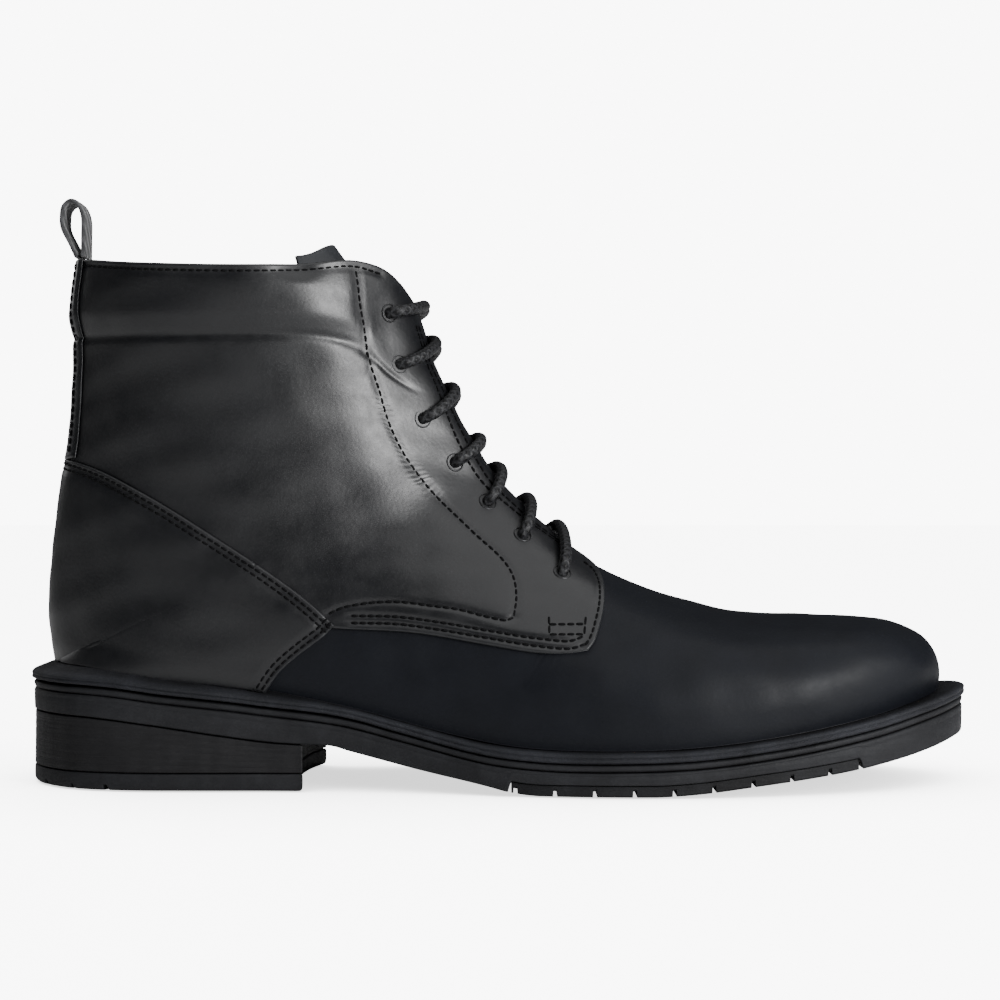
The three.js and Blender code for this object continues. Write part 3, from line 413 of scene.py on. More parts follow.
def panel(name, k, t, face, thick, material, free="udlr", roll=0.55, **kinds):
    """A panel over stations k and turns t, its outer face at that height and its free borders rounded."""
    flat = skin(k, t, face)
    sides = dict(zip("udlr", from_border(flat)))
    nearest = np.min([sides[s] for s in free], axis=0) if free else np.full(k.shape, 99.0)
    outer = skin(k, t, face - rolled(nearest, roll))
    inner = skin(k, t, np.asarray(face) - thick + 0.6 * rolled(nearest, roll))
    rows, cols = k.shape
    # rows run one way over the surface for the outer side of the foot and the other way for the inner side
    facing = np.cross(flat[-1, cols // 2] - flat[0, cols // 2], flat[rows // 2, -1] - flat[rows // 2, 0])
    flip = facing @ normal(k[rows // 2, cols // 2], t[rows // 2, cols // 2]) > 0
    faces = np.vstack([grid_faces(rows, cols, 0, flip), grid_faces(rows, cols, rows * cols, not flip),
                       walls(rows, cols, 0, not flip)])
    # nearness to a free border, which the leather paints paler: partly wear, partly a painted highlight along
    # the edge
    edge = np.concatenate([np.exp(-nearest.ravel() / 1.6)] * 2)
    verts = np.vstack([outer.reshape(-1, 3), inner.reshape(-1, 3)])
    return made(name, verts, faces, material, edge=edge, **kinds)


def coons(bottom, top, left, right, u, v):
    """Points inside four border curves, each given as an array sampled at the shares u or v."""
    u, v = u[None, :, None], v[:, None, None]
    ruled_v = (1 - v) * bottom[None] + v * top[None]
    ruled_u = (1 - u) * left[:, None] + u * right[:, None]
    corners = ((1 - u) * (1 - v) * bottom[0] + u * (1 - v) * bottom[-1]
               + (1 - u) * v * top[0] + u * v * top[-1])
    return ruled_v + ruled_u - corners


def tube(name, path, radius, sides, material, relief=None, **kinds):
    """A cord's mesh along close-set points, with its length along and its turn round it as UVs."""
    path = np.asarray(path, float)
    along = np.gradient(path, axis=0)
    along /= np.linalg.norm(along, axis=1)[:, None]
    side = np.zeros_like(path)
    side[0] = np.cross(along[0], [0.31, 0.92, 0.23])
    for i in range(1, len(path)):
        side[i] = side[i - 1]
        side[i] -= along[i] * (side[i] @ along[i])
        side[i] /= np.linalg.norm(side[i])
    side[0] /= np.linalg.norm(side[0])
    other = np.cross(along, side)
    run = np.concatenate([[0], np.cumsum(np.linalg.norm(np.diff(path, axis=0), axis=1))])
    turn = np.linspace(0, 2 * np.pi, sides, endpoint=False)
    r = np.asarray(radius) * np.ones((len(path), sides))
    if relief is not None:
        r = r + relief(run[:, None], turn[None, :])
    ring = side[:, None] * np.cos(turn)[None, :, None] + other[:, None] * np.sin(turn)[None, :, None]
    verts = (path[:, None] + ring * r[..., None]).reshape(-1, 3)
    faces = [tuple(f) for f in grid_faces(len(path), sides, wrap=True)[:, ::-1]]
    uv = np.stack(np.broadcast_arrays(run[:, None], turn[None, :]), axis=-1).reshape(-1, 2)
    faces += [tuple(range(sides)), tuple(range((len(path) - 1) * sides, len(path) * sides))[::-1]]
    return made(name, verts, faces, material, uv=uv, **kinds)


# ------------------------------------------------------------------ materials
def material(name):
    m = bpy.data.materials.new(name)
    m.use_nodes = True
    tree = m.node_tree
    return m, Nodes(tree, tree.nodes["Principled BSDF"])


class Nodes:
    """Short calls for the few kinds of shader node that the materials use."""

    def __init__(self, tree, shader):
        self.tree, self.shader = tree, shader

    def make(self, kind, inputs=(), **settings):
        n = self.tree.nodes.new(kind)
        for key, value in settings.items():
            setattr(n, key, value)
        for key, value in dict(inputs).items():
            self.put(n.inputs[key], value)
        return n

    def put(self, socket, value):
        if isinstance(value, bpy.types.NodeSocket):
            self.tree.links.new(value, socket)
        else:
            socket.default_value = value

    def coordinates(self, scale=(1, 1, 1)):
        source = self.make("ShaderNodeTexCoord").outputs["Object"]
        return self.make("ShaderNodeMapping", {"Vector": source, "Scale": scale}).outputs[0]

    def noise(self, scale, detail=3.0, roughness=0.5, where=None):
        inputs = {"Scale": scale, "Detail": detail, "Roughness": roughness,
                  "Vector": where or self.coordinates()}
        return self.make("ShaderNodeTexNoise", inputs).outputs["Fac"]

    def cells(self, scale, feature="F1"):
        inputs = {"Scale": scale, "Vector": self.coordinates()}
        return self.make("ShaderNodeTexVoronoi", inputs, feature=feature).outputs["Distance"]

    def maths(self, operation, a, b=0.0, c=0.0):
        return self.make("ShaderNodeMath", {0: a, 1: b, 2: c}, operation=operation).outputs[0]

    def ranged(self, value, low, high, to_low, to_high):
        return self.make("ShaderNodeMapRange", {0: value, 1: low, 2: high, 3: to_low, 4: to_high}).outputs[0]

    def mix(self, share, a, b):
        n = self.make("ShaderNodeMix", data_type="RGBA")
        self.put(n.inputs[0], share)
        for socket, value in ((n.inputs[6], a), (n.inputs[7], b)):
            self.put(socket, (*value, 1) if isinstance(value, tuple) else value)
        return n.outputs[2]

    def bump(self, height, distance, strength=1.0, under=None):
        n = self.make("ShaderNodeBump", {"Height": height, "Distance": distance, "Strength": strength})
        if under is not None:
            self.put(n.inputs["Normal"], under)
        return n.outputs[0]

    def attribute(self, name):
        return self.make("ShaderNodeAttribute", attribute_name=name).outputs["Fac"]

    def surface(self, **values):
        for key, value in values.items():
            socket = self.shader.inputs[key.replace("_", " ")]
            self.put(socket, (*value, 1) if isinstance(value, tuple) and len(value) == 3 else value)


def leather(name, colour, wear_and_edge_highlight, roughness=(0.32, 0.44), grain=1.0, specular=0.46):
    """Satin finished leather: pebbled grain, broken up by finer creases, duller and paler on its edges; the
    paler edge colour is partly wear and partly a painted highlight along the rolled edges.
    """
    m, n = material(name)
    broad = n.noise(38, 4, 0.55)
    cloud = n.noise(160, 3, 0.6)
    fine = n.noise(2600, 4, 0.65)
    pebbles = n.cells(900, "SMOOTH_F1")
    pores = n.ranged(n.cells(1500), 0.0, 0.22, 0.0, 1.0)
    edge = n.attribute("edge")
    # paler colour near the panels' edges: partly wear, partly a painted highlight along the rolled edges
    scuffed_and_highlight = n.maths("MULTIPLY", edge, n.ranged(cloud, 0.35, 0.75, 0.25, 1.0))
    tone = n.mix(n.ranged(broad, 0.3, 0.75, 0.0, 1.0), colour, tuple(c * 1.45 for c in colour))
    grimy = n.mix(n.ranged(fine, 0.45, 0.8, 0.0, 0.35), tone, tuple(c * 0.55 for c in colour))
    n.surface(Base_Color=n.mix(scuffed_and_highlight, grimy, wear_and_edge_highlight))
    rough = n.ranged(n.maths("ADD", cloud, n.maths("MULTIPLY", fine, 0.35)), 0.4, 0.9, *roughness)
    n.surface(Roughness=n.maths("ADD", rough, n.maths("MULTIPLY", scuffed_and_highlight, 0.12)), IOR=1.5)
    n.surface(Specular_IOR_Level=specular)
    height = n.maths("ADD", n.maths("MULTIPLY", pebbles, 0.8), n.maths("MULTIPLY", fine, 0.45))
    soft = n.bump(n.noise(45, 2, 0.4), 0.0006, 0.25)
    grained = n.bump(height, 0.00005 * grain, 0.6, soft)
    n.surface(Normal=n.bump(pores, 0.00003 * grain, 0.35, grained))
    return m


def rubber(name, colour, wear_and_edge_highlight, lines=0.0, grit=1.0):
    """Black rubber, rubbed and dusty in patches, with fine lines along the boot where they are wanted."""
    m, n = material(name)
    cloud = n.noise(55, 5, 0.65)
    streaks = n.noise(1.0, 4, 0.6, where=n.coordinates((26, 26, 900)))
    grains = n.noise(1500, 4, 0.7)
    edge = n.attribute("edge")
    dust = n.maths("MULTIPLY", n.ranged(cloud, 0.42, 0.72, 0.12, 1.0), n.ranged(grains, 0.35, 0.7, 0.35, 1.0))
    share = n.maths("MINIMUM", n.maths("ADD", dust, n.maths("MULTIPLY", edge, 0.5)), 1.0)
    n.surface(Base_Color=n.mix(share, colour, wear_and_edge_highlight), Roughness=n.ranged(grains, 0.3, 0.7, 0.5, 0.74))
    height = n.maths("ADD", n.maths("MULTIPLY", grains, 0.5 * grit), n.maths("MULTIPLY", streaks, lines))
    n.surface(Normal=n.bump(height, 0.0003, 0.8), Specular_IOR_Level=0.16)
    return m


def cloth(name, colour, other, pitch, roughness=0.85, twill=True, relief=0.00022):
    """Woven fabric: two crossing threads at that pitch in metres, slanted into ribs for a twill."""
    m, n = material(name)
    where = n.make("ShaderNodeSeparateXYZ", {0: n.coordinates((1 / pitch,) * 3)})
    across = n.maths("ADD", where.outputs[1], where.outputs[0])
    warp = n.maths("SINE", n.maths("MULTIPLY", across, math.pi))
    weft = n.maths("SINE", n.maths("MULTIPLY", where.outputs[2], math.pi))
    rib = n.maths("SINE", n.maths("MULTIPLY", n.maths("ADD", across, where.outputs[2]), math.pi / 2))
    height = n.maths("MULTIPLY", warp, weft)
    if twill:
        height = n.maths("ADD", n.maths("MULTIPLY", height, 0.4), rib)
    fuzz = n.noise(2200, 3, 0.6)
    share = n.maths("ADD", n.ranged(height, -1.2, 1.2, 0.1, 0.75), n.ranged(fuzz, 0.3, 0.7, -0.15, 0.15))
    n.surface(Base_Color=n.mix(share, colour, other), Roughness=roughness,
              Sheen_Weight=0.25, Sheen_Roughness=0.5)
    n.surface(Normal=n.bump(n.maths("ADD", height, n.maths("MULTIPLY", fuzz, 0.8)), relief, 0.7))
    return m


def braid(name, colour, other):
    """Waxed braid: strands crossing round the cord, from its UVs in millimetres and radians."""
    m, n = material(name)
    uv = n.make("ShaderNodeSeparateXYZ", {0: n.make("ShaderNodeTexCoord").outputs["UV"]})
    run = n.maths("MULTIPLY", uv.outputs[0], 2 * math.pi / BRAID_PITCH)
    turn = n.maths("MULTIPLY", uv.outputs[1], BRAID_STRANDS)
    one = n.maths("SINE", n.maths("ADD", run, turn))
    two = n.maths("SINE", n.maths("SUBTRACT", run, turn))
    height = n.maths("MAXIMUM", one, two)
    fibres = n.noise(1800, 3, 0.6)
    share = n.maths("MULTIPLY", n.ranged(height, -0.2, 1.0, 0.0, 1.0), n.ranged(fibres, 0.3, 0.75, 0.35, 1.0))
    n.surface(Base_Color=n.mix(share, colour, other), Roughness=n.ranged(fibres, 0.3, 0.7, 0.42, 0.62))
    n.surface(Normal=n.bump(n.maths("ADD", height, fibres), 0.00022, 0.8), Specular_IOR_Level=0.3)
    return m


def plain(name, colour, other, roughness, scale, relief=0.0003, metallic=0.0, specular=0.5):
    """Cork, board, foam and metal: mottled, with a grainy surface."""
    m, n = material(name)
    speckle = n.cells(scale)
    cloud = n.noise(scale * 0.35, 4, 0.6)
    n.surface(Base_Color=n.mix(n.ranged(n.maths("ADD", speckle, cloud), 0.4, 1.3, 0.0, 1.0), colour, other))
    n.surface(Roughness=n.ranged(cloud, 0.3, 0.7, roughness - 0.08, roughness + 0.08), Metallic=metallic,
              Specular_IOR_Level=specular)
    n.surface(Normal=n.bump(n.maths("ADD", speckle, n.noise(scale * 4, 3, 0.6)), relief, 0.6))
    return m


UPPER = leather("black_leather", (0.0028, 0.003, 0.0038), (0.011, 0.0115, 0.013))
VAMP = leather("black_vamp_leather", (0.0036, 0.0042, 0.006), (0.013, 0.0145, 0.019),
               (0.46, 0.58), specular=0.14)
TONGUE = leather("tongue_leather", (0.006, 0.007, 0.009), (0.014, 0.016, 0.02), (0.55, 0.72), 0.7)
LINING = cloth("lining_fabric", (0.014, 0.022, 0.024), (0.03, 0.046, 0.05), 0.0006, relief=0.00012)
FOOTBED_CLOTH = cloth("footbed_fabric", (0.012, 0.013, 0.014), (0.035, 0.037, 0.04), 0.0007, relief=0.00014)
WEBBING = cloth("herringbone_webbing", (0.010, 0.010, 0.011), (0.05, 0.051, 0.055),
                0.0013, 0.75, relief=0.0004)
FOAM = plain("foam", (0.03, 0.03, 0.032), (0.07, 0.07, 0.075), 0.95, 900)
CORK = plain("cork", (0.22, 0.12, 0.06), (0.42, 0.26, 0.14), 0.9, 500)
FIBRE_BOARD = plain("fibre_board", (0.19, 0.11, 0.06), (0.3, 0.2, 0.12), 0.85, 1400)
STIFFENER = plain("black_fibre", (0.006, 0.006, 0.007), (0.016, 0.016, 0.018),
                  0.85, 1400, 0.0001, specular=0.2)
STEEL = plain("brushed_steel", (0.42, 0.43, 0.45), (0.6, 0.6, 0.62), 0.35, 1500, 0.00005, 1.0)
BLACK_METAL = plain("black_enamel", (0.012, 0.012, 0.013), (0.03, 0.03, 0.032), 0.36, 1200, 0.00004, 0.6)
WELT_RUBBER = rubber("welt_rubber", (0.0022, 0.0024, 0.003), (0.017, 0.018, 0.022), 1.3, 2.8)
SOLE_RUBBER = rubber("sole_rubber", (0.003, 0.003, 0.0035), (0.015, 0.0155, 0.0175), 0.7)
HEEL_RUBBER = rubber("stacked_heel", (0.0028, 0.0028, 0.0032), (0.012, 0.012, 0.013), 2.2)
LACE = braid("waxed_braid", (0.003, 0.003, 0.0035), (0.018, 0.0185, 0.021))
THREAD_LOOK = plain("waxed_thread", (0.001, 0.001, 0.0012), (0.003, 0.003, 0.0035),
                    0.7, 2500, 0.0001, specular=0.08)


# ------------------------------------------------------------------ side-view lines of the upper, as [x, z]
RIM = [[-139.4, 169.6], [-112, 166.2], [-86, 165.0], [-62, 165.6], [-47, 167.4], [-38.5, 165.4],
       [-33.5, 161.2], [-29.4, 155.5], [-27, 152]]
TAB_FRONT = [[27.6, 71.8], [30.6, 69.4], [32.3, 66], [33, 62], [32.7, 57], [31.2, 51.5], [29.6, 47.2],
             [27.4, 44.4]]
TAB_LOWER = [[27.4, 44.4], [22.6, 42.8], [8.8, 43.8], [-4.9, 46.1], [-19, 48.5], [-33, 50.3], [-47, 50.6]]
UNDER_COUNTER = [[-47, 50.6], [-58, 51], [-69, 57], [-88, 69.4], [-104, 79.6], [-116.5, 86.4], [-128, 92],
                 [-142, 97]]
COUNTER_TOP = [[-142.6, 105.4], [-128, 100.9], [-116.5, 95.6], [-104, 88.6], [-88, 78.5], [-69, 65.8],
               [-58, 57.4], [-51.8, 51.8]]
COUNTER_FRONT = [[-51.8, 51.8], [-54.6, 48.8], [-60, 44.8], [-65, 40.9], [-69, 37.2], [-73, 32], [-76.5, 27]]
PADDING_EDGE = [[-139, 143.6], [-100, 143.2], [-60, 143], [-52.6, 142], [-47, 140.4], [-42, 137],
                [-36.6, 132], [-31, 128], [-24, 124.6]]
FACING_SEAM = [[-46.8, 164], [-45.6, 154], [-43.8, 144], [-42, 134.6], [-39.2, 126.8], [-36.4, 117],
               [-31.8, 107], [-25.4, 97.2], [-18, 89], [-9.4, 80.8], [-1.6, 73.8], [1.9, 70], [4.3, 65.6],
               [5.1, 59.8], [4.2, 54.2]]
BAR_TACK = [[15.2, 54], [15.4, 48.6], [26.2, 48.8], [26.8, 54.2]]
HOLES = [[19.4, 67.2], [6.8, 79.2], [-4.5, 90.0], [-15.2, 103.0], [-25.6, 117.2], [-33.0, 134.6],
         [-36.2, 151.0]]
SIDES = (("outer", -1), ("inner", 1))

SEAM_RETURN = [[4.2, 54.2], [2.4, 53.2], [-4.4, 54.4], [-12.3, 56.4], [-21.5, 57.7], [-31.6, 59],
               [-40.4, 58.8], [-49.6, 57.2], [-54, 55.2]]


def beside(line, distance, first=0, last=None):
    """A seam line in the side view, at a distance to the right of another line's direction."""
    return offset_line(smooth(line, 40), -distance)[first:last].tolist()


QUARTER_SEAMS = [FACING_SEAM, SEAM_RETURN, beside(RIM[:6], 2.1), beside(TAB_LOWER, 2.0),
                 beside(TAB_LOWER, 4.2), beside(TAB_FRONT, 1.7)]
COUNTER_SEAMS = [beside(COUNTER_TOP, 1.5), beside(COUNTER_TOP, 3.2), beside(COUNTER_FRONT, 1.4),
                 beside(COUNTER_FRONT, 3.1)]

padding_edge = height_curve(sorted(PADDING_EDGE))
rim_height = height_curve(sorted(RIM[:6]))


def unevenness(k, t):
    """The small swells of hand-lasted leather, the same for every layer at a place."""
    p = sampled(POINTS, k, t)
    x, y, z = p[..., 0], p[..., 1], p[..., 2]
    swell = (0.16 * np.sin(0.11 * x + 0.19 * z + 0.05 * y + 0.4) + 0.11 * np.sin(0.27 * z - 0.16 * x + 2.1)
             + 0.06 * np.sin(0.41 * x + 0.13 * z - 0.2 * y) + 0.05 * np.sin(0.52 * z + 0.3 * y + 1.0))
    quiet = step(z - welt_top(x), 2, 14)
    return swell * quiet


def padding(k, t):
    """How far the padded collar stands out, with the crease under it and the dip beside the tongue."""
    p = sampled(POINTS, k, t)
    x, z = p[..., 0], p[..., 2]
    over = z - padding_edge(np.clip(x, -139, -24))
    front = 1 - step(x, -50, -36)
    bulge = 1.15 * step(over, 0, 8) * (1 - 0.55 * step(over, 15, 25)) * front
    crease = -0.55 * np.exp(-(over / 1.1) ** 2) * (1 - step(x, -40, -24))
    dip = -2.6 * np.exp(-((x + 64.5) / 6.5) ** 2) * step(z, 158.5, 166)
    return bulge + crease + dip


def distance_to(line, x, z):
    """Distance in the side view from points x, z to a line of [x, z] points."""
    line = smooth(line, 60)
    best = np.full(np.shape(x), 99.0)
    for a, b in zip(line[:-1], line[1:]):
        along = b - a
        u = np.clip(((x - a[0]) * along[0] + (z - a[1]) * along[1]) / (along @ along), 0, 1)
        best = np.minimum(best, np.hypot(x - a[0] - u * along[0], z - a[1] - u * along[1]))
    return best


def pulled_in(k, t, seams):
    """The shallow channel that tight thread pulls into the leather along each seam."""
    p = sampled(POINTS, k, t)
    depth = 0
    for line in seams:
        depth = depth + 0.42 * np.exp(-(distance_to(line, p[..., 0], p[..., 2]) / 0.85) ** 2)
    return -depth


def quarter_height(k, t):
    return QUARTER_FACE + unevenness(k, t) + padding(k, t) + pulled_in(k, t, QUARTER_SEAMS)


def counter_height(k, t):
    return COUNTER_FACE + unevenness(k, t) + pulled_in(k, t, COUNTER_SEAMS)


def vamp_height(k, t):
    return unevenness(k, t)


# ------------------------------------------------------------------ camera, light and floor
def look_from(location, target):
    return (Vector(target) - Vector(location)).to_track_quat("-Z", "Y").to_euler()


def camera():
    data = bpy.data.cameras.new("camera")
    data.lens, data.sensor_width = LENS, 36
    made_camera = bpy.data.objects.new("camera", data)
    made_camera.location = CAMERA_AT
    made_camera.rotation_euler = (math.pi / 2, 0, 0)
    bpy.context.collection.objects.link(made_camera)
    bpy.context.scene.camera = made_camera


def area_light(name, location, target, size, power, colour=(1, 1, 1)):
    data = bpy.data.lights.new(name, "AREA")
    data.shape, data.size, data.size_y = "RECTANGLE", size[0], size[1]
    data.energy, data.color = power, colour
    light = bpy.data.objects.new(name, data)
    light.location = location
    light.rotation_euler = look_from(location, target)
    bpy.context.collection.objects.link(light)


def lamps():
    area_light("key", (0.86, -0.88, 0.36), (-0.04, 0, 0.1), (0.45, 0.5), 26)
    sun = bpy.data.lights.new("sky_panel", "SUN")
    sun.energy, sun.angle = 2.0, 1.3
    overhead = bpy.data.objects.new("sky_panel", sun)
    overhead.rotation_euler = (math.radians(12), math.radians(8), 0)
    bpy.context.collection.objects.link(overhead)
    area_light("back_rim", (-0.7, 0.5, 0.5), (-0.05, 0, 0.09), (0.4, 0.6), 1.2)


def surroundings():
    """White where the camera sees past the floor, and a dim even light on the boot."""
    world = bpy.data.worlds.new("world")
    bpy.context.scene.world = world
    world.use_nodes = True
    tree = world.node_tree
    seen, lit = tree.nodes["Background"], tree.nodes.new("ShaderNodeBackground")
    seen.inputs[0].default_value, seen.inputs[1].default_value = (1, 1, 1, 1), 9.0
    lit.inputs[0].default_value, lit.inputs[1].default_value = (0.93, 0.96, 1.0, 1), 0.07
    chooser, ray = tree.nodes.new("ShaderNodeMixShader"), tree.nodes.new("ShaderNodeLightPath")
    tree.links.new(ray.outputs["Is Camera Ray"], chooser.inputs[0])
    tree.links.new(lit.outputs[0], chooser.inputs[1])
    tree.links.new(seen.outputs[0], chooser.inputs[2])
    tree.links.new(chooser.outputs[0], tree.nodes["World Output"].inputs[0])


def pale_floor():
    """A white floor, whose glow for the camera fades under the boot into a soft shadow."""
    m, n = material("pale_floor")
    speckle = n.noise(60, 2, 0.5)
    n.surface(Base_Color=n.mix(speckle, (0.9, 0.9, 0.905), (0.94, 0.94, 0.94)), Roughness=0.95,
              Specular_IOR_Level=0.05, Emission_Color=(1, 1, 1))
    open_sky = n.make("ShaderNodeAmbientOcclusion", {"Distance": 0.13}).outputs["AO"]
    glow = n.ranged(open_sky, 0.1, 0.95, 1.5, 7.6)
    seen = n.make("ShaderNodeLightPath").outputs["Is Camera Ray"]
    n.surface(Emission_Strength=n.maths("MULTIPLY", seen, glow))
    bpy.ops.mesh.primitive_plane_add(size=14, location=(0, 0, -0.0004))
    floor = bpy.context.object
    floor.name = "floor"
    floor.data.materials.append(m)


# ------------------------------------------------------------------ the laces
def facing_turn(k, side):
    return float(at_half_width(k, side * FACING_GAP)[0])


HOLE_AT = [[locate([hole], side)[0] for _, side in SIDES] for hole in HOLES]

# the lace's way from one hole to the next, as [part of the way, height over the surface]:
# over its own facing, across the gap (-1 to 1, edge to edge), and in under the other facing
OVER_OWN_FACING = [[0, LACE_UNDER], [0, -0.6], [0, 1.4], [0.12, 3.5], [0.45, 4.1]]
GAP_ON_TOP = [[-1, 4.1], [-0.55, 4.1], [-0.1, 4.0], [0.22, 3.6], [0.45, 2.6], [0.66, -0.3], [0.82, -3.1]]
GAP_BELOW = [[-1, 4.1], [-0.74, 3.6], [-0.5, 2.0], [-0.27, 0.1], [0, -1.5], [0.35, -2.9], [0.75, -3.8]]
UNDER_OTHER_FACING = [[0.35, LACE_UNDER], [0.75, LACE_UNDER]]
LACE_CLIMB = 1.35  # over 1: the lace crosses nearly square, and climbs mostly under the second facing


def one(k, t, height):
    return skin(np.array([k]), np.array([t]), np.array([height]))[0]


def crossing(start, end, across_gap):
    def mix(a, b, u):
        return a + (b - a) * u

    own = facing_turn(mix(start[0], end[0], 0.3), np.sign(start[1]))
    other = facing_turn(mix(start[0], end[0], 0.7), np.sign(end[1]))
    way = ([(mix(start[1], own, u), h) for u, h in OVER_OWN_FACING]
           + [(mix(own, other, (u + 1) / 2), h) for u, h in across_gap]
           + [(mix(other, end[1], u), h) for u, h in UNDER_OTHER_FACING])
    climbed = [((turn - start[1]) / (end[1] - start[1])) ** LACE_CLIMB for turn, _ in way]
    return [one(mix(start[0], end[0], u), turn, h) for u, (turn, h) in zip(climbed, way)]


def lace_half(first):
    points = []
    for row, pair in enumerate(HOLE_AT):
        side = (first + row) % 2
        if row + 1 < len(HOLE_AT):
            after = HOLE_AT[row + 1][1 - side]
        else:
            after = pair[1 - side] + [0.6, 0]
        points += crossing(pair[side], after, GAP_ON_TOP if side == 0 else GAP_BELOW)
    return points


def lace_end(side):
    wing = [[24.55, 0.17, -5.2], [24.4, 0.24, -6.4], [24.1, 0.31, -7.0], [23.6, 0.37, -6.8],
            [22.9, 0.41, -5.8]]
    hang = [[-78, 142]] + [[LACE_HANGS_AT, z] for z in (126, 108, 90, 74, 60, 50)]
    lying = [[-86, 21], [-76, 17.5], [-65, 15], [-54, 13]]
    floor = 2 * GAP + BOARD + FOOTBED + LACE_R + 0.5
    return ([one(k, side * t, h) for k, t, h in wing]
            + [one(*locate([at], side)[0], -5.4) for at in hang]
            + [np.array([x, side * y, float(welt_top(x)) + floor]) for x, y in lying])


def laces():
    low = HOLE_AT[0][0]
    bar = [one(low[0], u * abs(low[1]), LACE_UNDER) for u in (-0.55, -0.2, 0.2, 0.55)]
    line = smooth(lace_half(0)[::-1] + bar + lace_half(1), 1500)

    def strands(run, turn):
        along, around = 2 * np.pi * run / BRAID_PITCH, BRAID_STRANDS * turn
        crossed = np.maximum(np.sin(along + around), np.sin(along - around))
        return 0.09 * crossed - 0.06

    tube("laced_cord", line, LACE_R, 20, LACE, relief=strands, body="rearfoot", node=["lace"], slot="laces")
    for name, side in SIDES:
        line = smooth(lace_end(side), 150)
        end, along = line[-1], (line[-1] - line[-2]) / np.linalg.norm(line[-1] - line[-2])
        tip = [end + along * d for d in np.linspace(-0.5, 21, 24)]
        taper = np.interp(np.arange(24), [0, 1, 20, 22, 23], [1.8, 1.9, 1.7, 1.45, 0.7])
        aglet = tube("lace_tip_" + name, tip, taper[:, None], 16, BLACK_METAL, body="rearfoot",
                     node=["aglet_" + name], slot="aglets")
        cord = tube("loose_cord_" + name, line, LACE_R, 16, LACE, body="rearfoot", node=["lace_end_" + name],
                    slot="laces")


# ------------------------------------------------------------------ the upper's leather
def border(line, side, count, shares=None):
    """Stations and turns along a side-view line, sampled at shares of its length."""
    if shares is None:
        shares = np.linspace(0, 1, count + 1)
    return resample(locate(smooth(line, count), side), shares)


EDGE_SAMPLES, BACK_SAMPLES = 400, 70  # along the quarter's lower edge, and of those along the back seam
CORNER = (0.735, 0.865)  # the part of the lower edge that turns up into the back seam
STATION_TURNS = 14  # a turn round the section weighs as much as 14 stations in the edge's length


def quarter(name, side):
    u = np.sort(np.concatenate([spaced(250, 190), np.linspace(*CORNER, 110)]))
    v = spaced(150, 80)
    weight = [1, STATION_TURNS]
    tab_front = border(TAB_FRONT, side, 60, v)
    rim = border(RIM[::-1], side, 90, v)
    rim[0] = [rim[0][0], facing_turn(rim[0][0], side)]
    tab_front[0] = [tab_front[0][0], facing_turn(tab_front[0][0], side)]
    rim[-1, 1] = side
    lower = np.vstack([locate(smooth(TAB_LOWER, 60), side)[:-1], locate(smooth(UNDER_COUNTER, 60), side)])
    lower[-1, 1] = side
    turned = resample(np.vstack([lower, [rim[-1, 0], side]]) * weight,
                      np.linspace(0, 1, EDGE_SAMPLES)) / weight
    for _ in range(SMOOTH_ROUNDS):
        turned[1:-1] = (turned[:-2] + 2 * turned[1:-1] + turned[2:]) / 4
    turned[-BACK_SAMPLES:, 1] = side
    lower_edge = resample(turned * weight, u) / weight
    lower_edge[0], lower_edge[-1] = tab_front[-1], rim[-1]
    facing_k = tab_front[0, 0] + (rim[0, 0] - tab_front[0, 0]) * u
    facing = np.column_stack([facing_k, at_half_width(facing_k, side * FACING_GAP)])
    kt = coons(facing, lower_edge, tab_front, rim, u, v)
    k, t = kt[..., 0], np.clip(kt[..., 1], -1, 1)
    panel(name, k, t, quarter_height(k, t), LEATHER, UPPER, roll=0.75, body="rearfoot",
          node=["quarter_" + ("outer" if side < 0 else "inner")], slot="upper_leather")


def counter_cover():
    u, v = spaced(110, 120), spaced(50, 45)
    halves = []
    for _, side in SIDES:
        top = border(COUNTER_TOP[::-1], side, 90, u)
        front = border(COUNTER_FRONT[::-1], side, 60, v)
        front[0, 1] = side
        top[-1, 1] = side
        base = np.column_stack([front[0, 0] + (18 - front[0, 0]) * u, np.full(len(u), side)])
        back = np.column_stack([18 + (top[-1, 0] - 18) * v, np.full(len(v), side)])
        top[0] = front[-1]
        halves.append(coons(base, top, front, back, u, v))
    outer, inner = halves
    kt = np.concatenate([outer, inner[:, -2::-1]], axis=1)
    k, t = kt[..., 0], kt[..., 1]
    panel("counter_cover", k, t, counter_height(k, t), LEATHER, UPPER, roll=0.75, body="rearfoot",
          node=["heel_counter_cover"], slot="upper_leather")


def vamp():
    k = np.concatenate([np.arange(0, 2, 0.08), np.arange(2, 9, 0.1), np.arange(9, 13.8, 0.12)])
    hidden_top = [[24.6, 62], [22, 56], [9, 53], [-5, 55], [-19, 57], [-33, 58.4], [-47, 58.8], [-58, 58],
                  [-69, 52]]
    share = np.linspace(0, 1, 60)
    across = []
    for _, side in SIDES:
        edge = locate(smooth(hidden_top, 60), side)
        edge = edge[np.argsort(edge[:, 0])]
        start = np.interp(k, [8.72, 9.1], [0, 1]) * np.abs(np.interp(k, edge[:, 0], edge[:, 1]))
        start = np.where(k > edge[-1, 0], abs(edge[-1, 1]), start)
        across.append(side * (start[:, None] + (1 - start[:, None]) * share))
    for (name, _), t in zip(SIDES, across):
        kk = np.broadcast_to(k[:, None], t.shape)
        panel("vamp_" + name, kk, t, vamp_height(kk, t), LEATHER, VAMP, free="", body=None)
    joined("vamp", ["vamp_outer", "vamp_inner"])
    placed(bpy.data.objects["vamp"], "bends", ["vamp_front", "vamp_flex_band", "vamp_rear"])


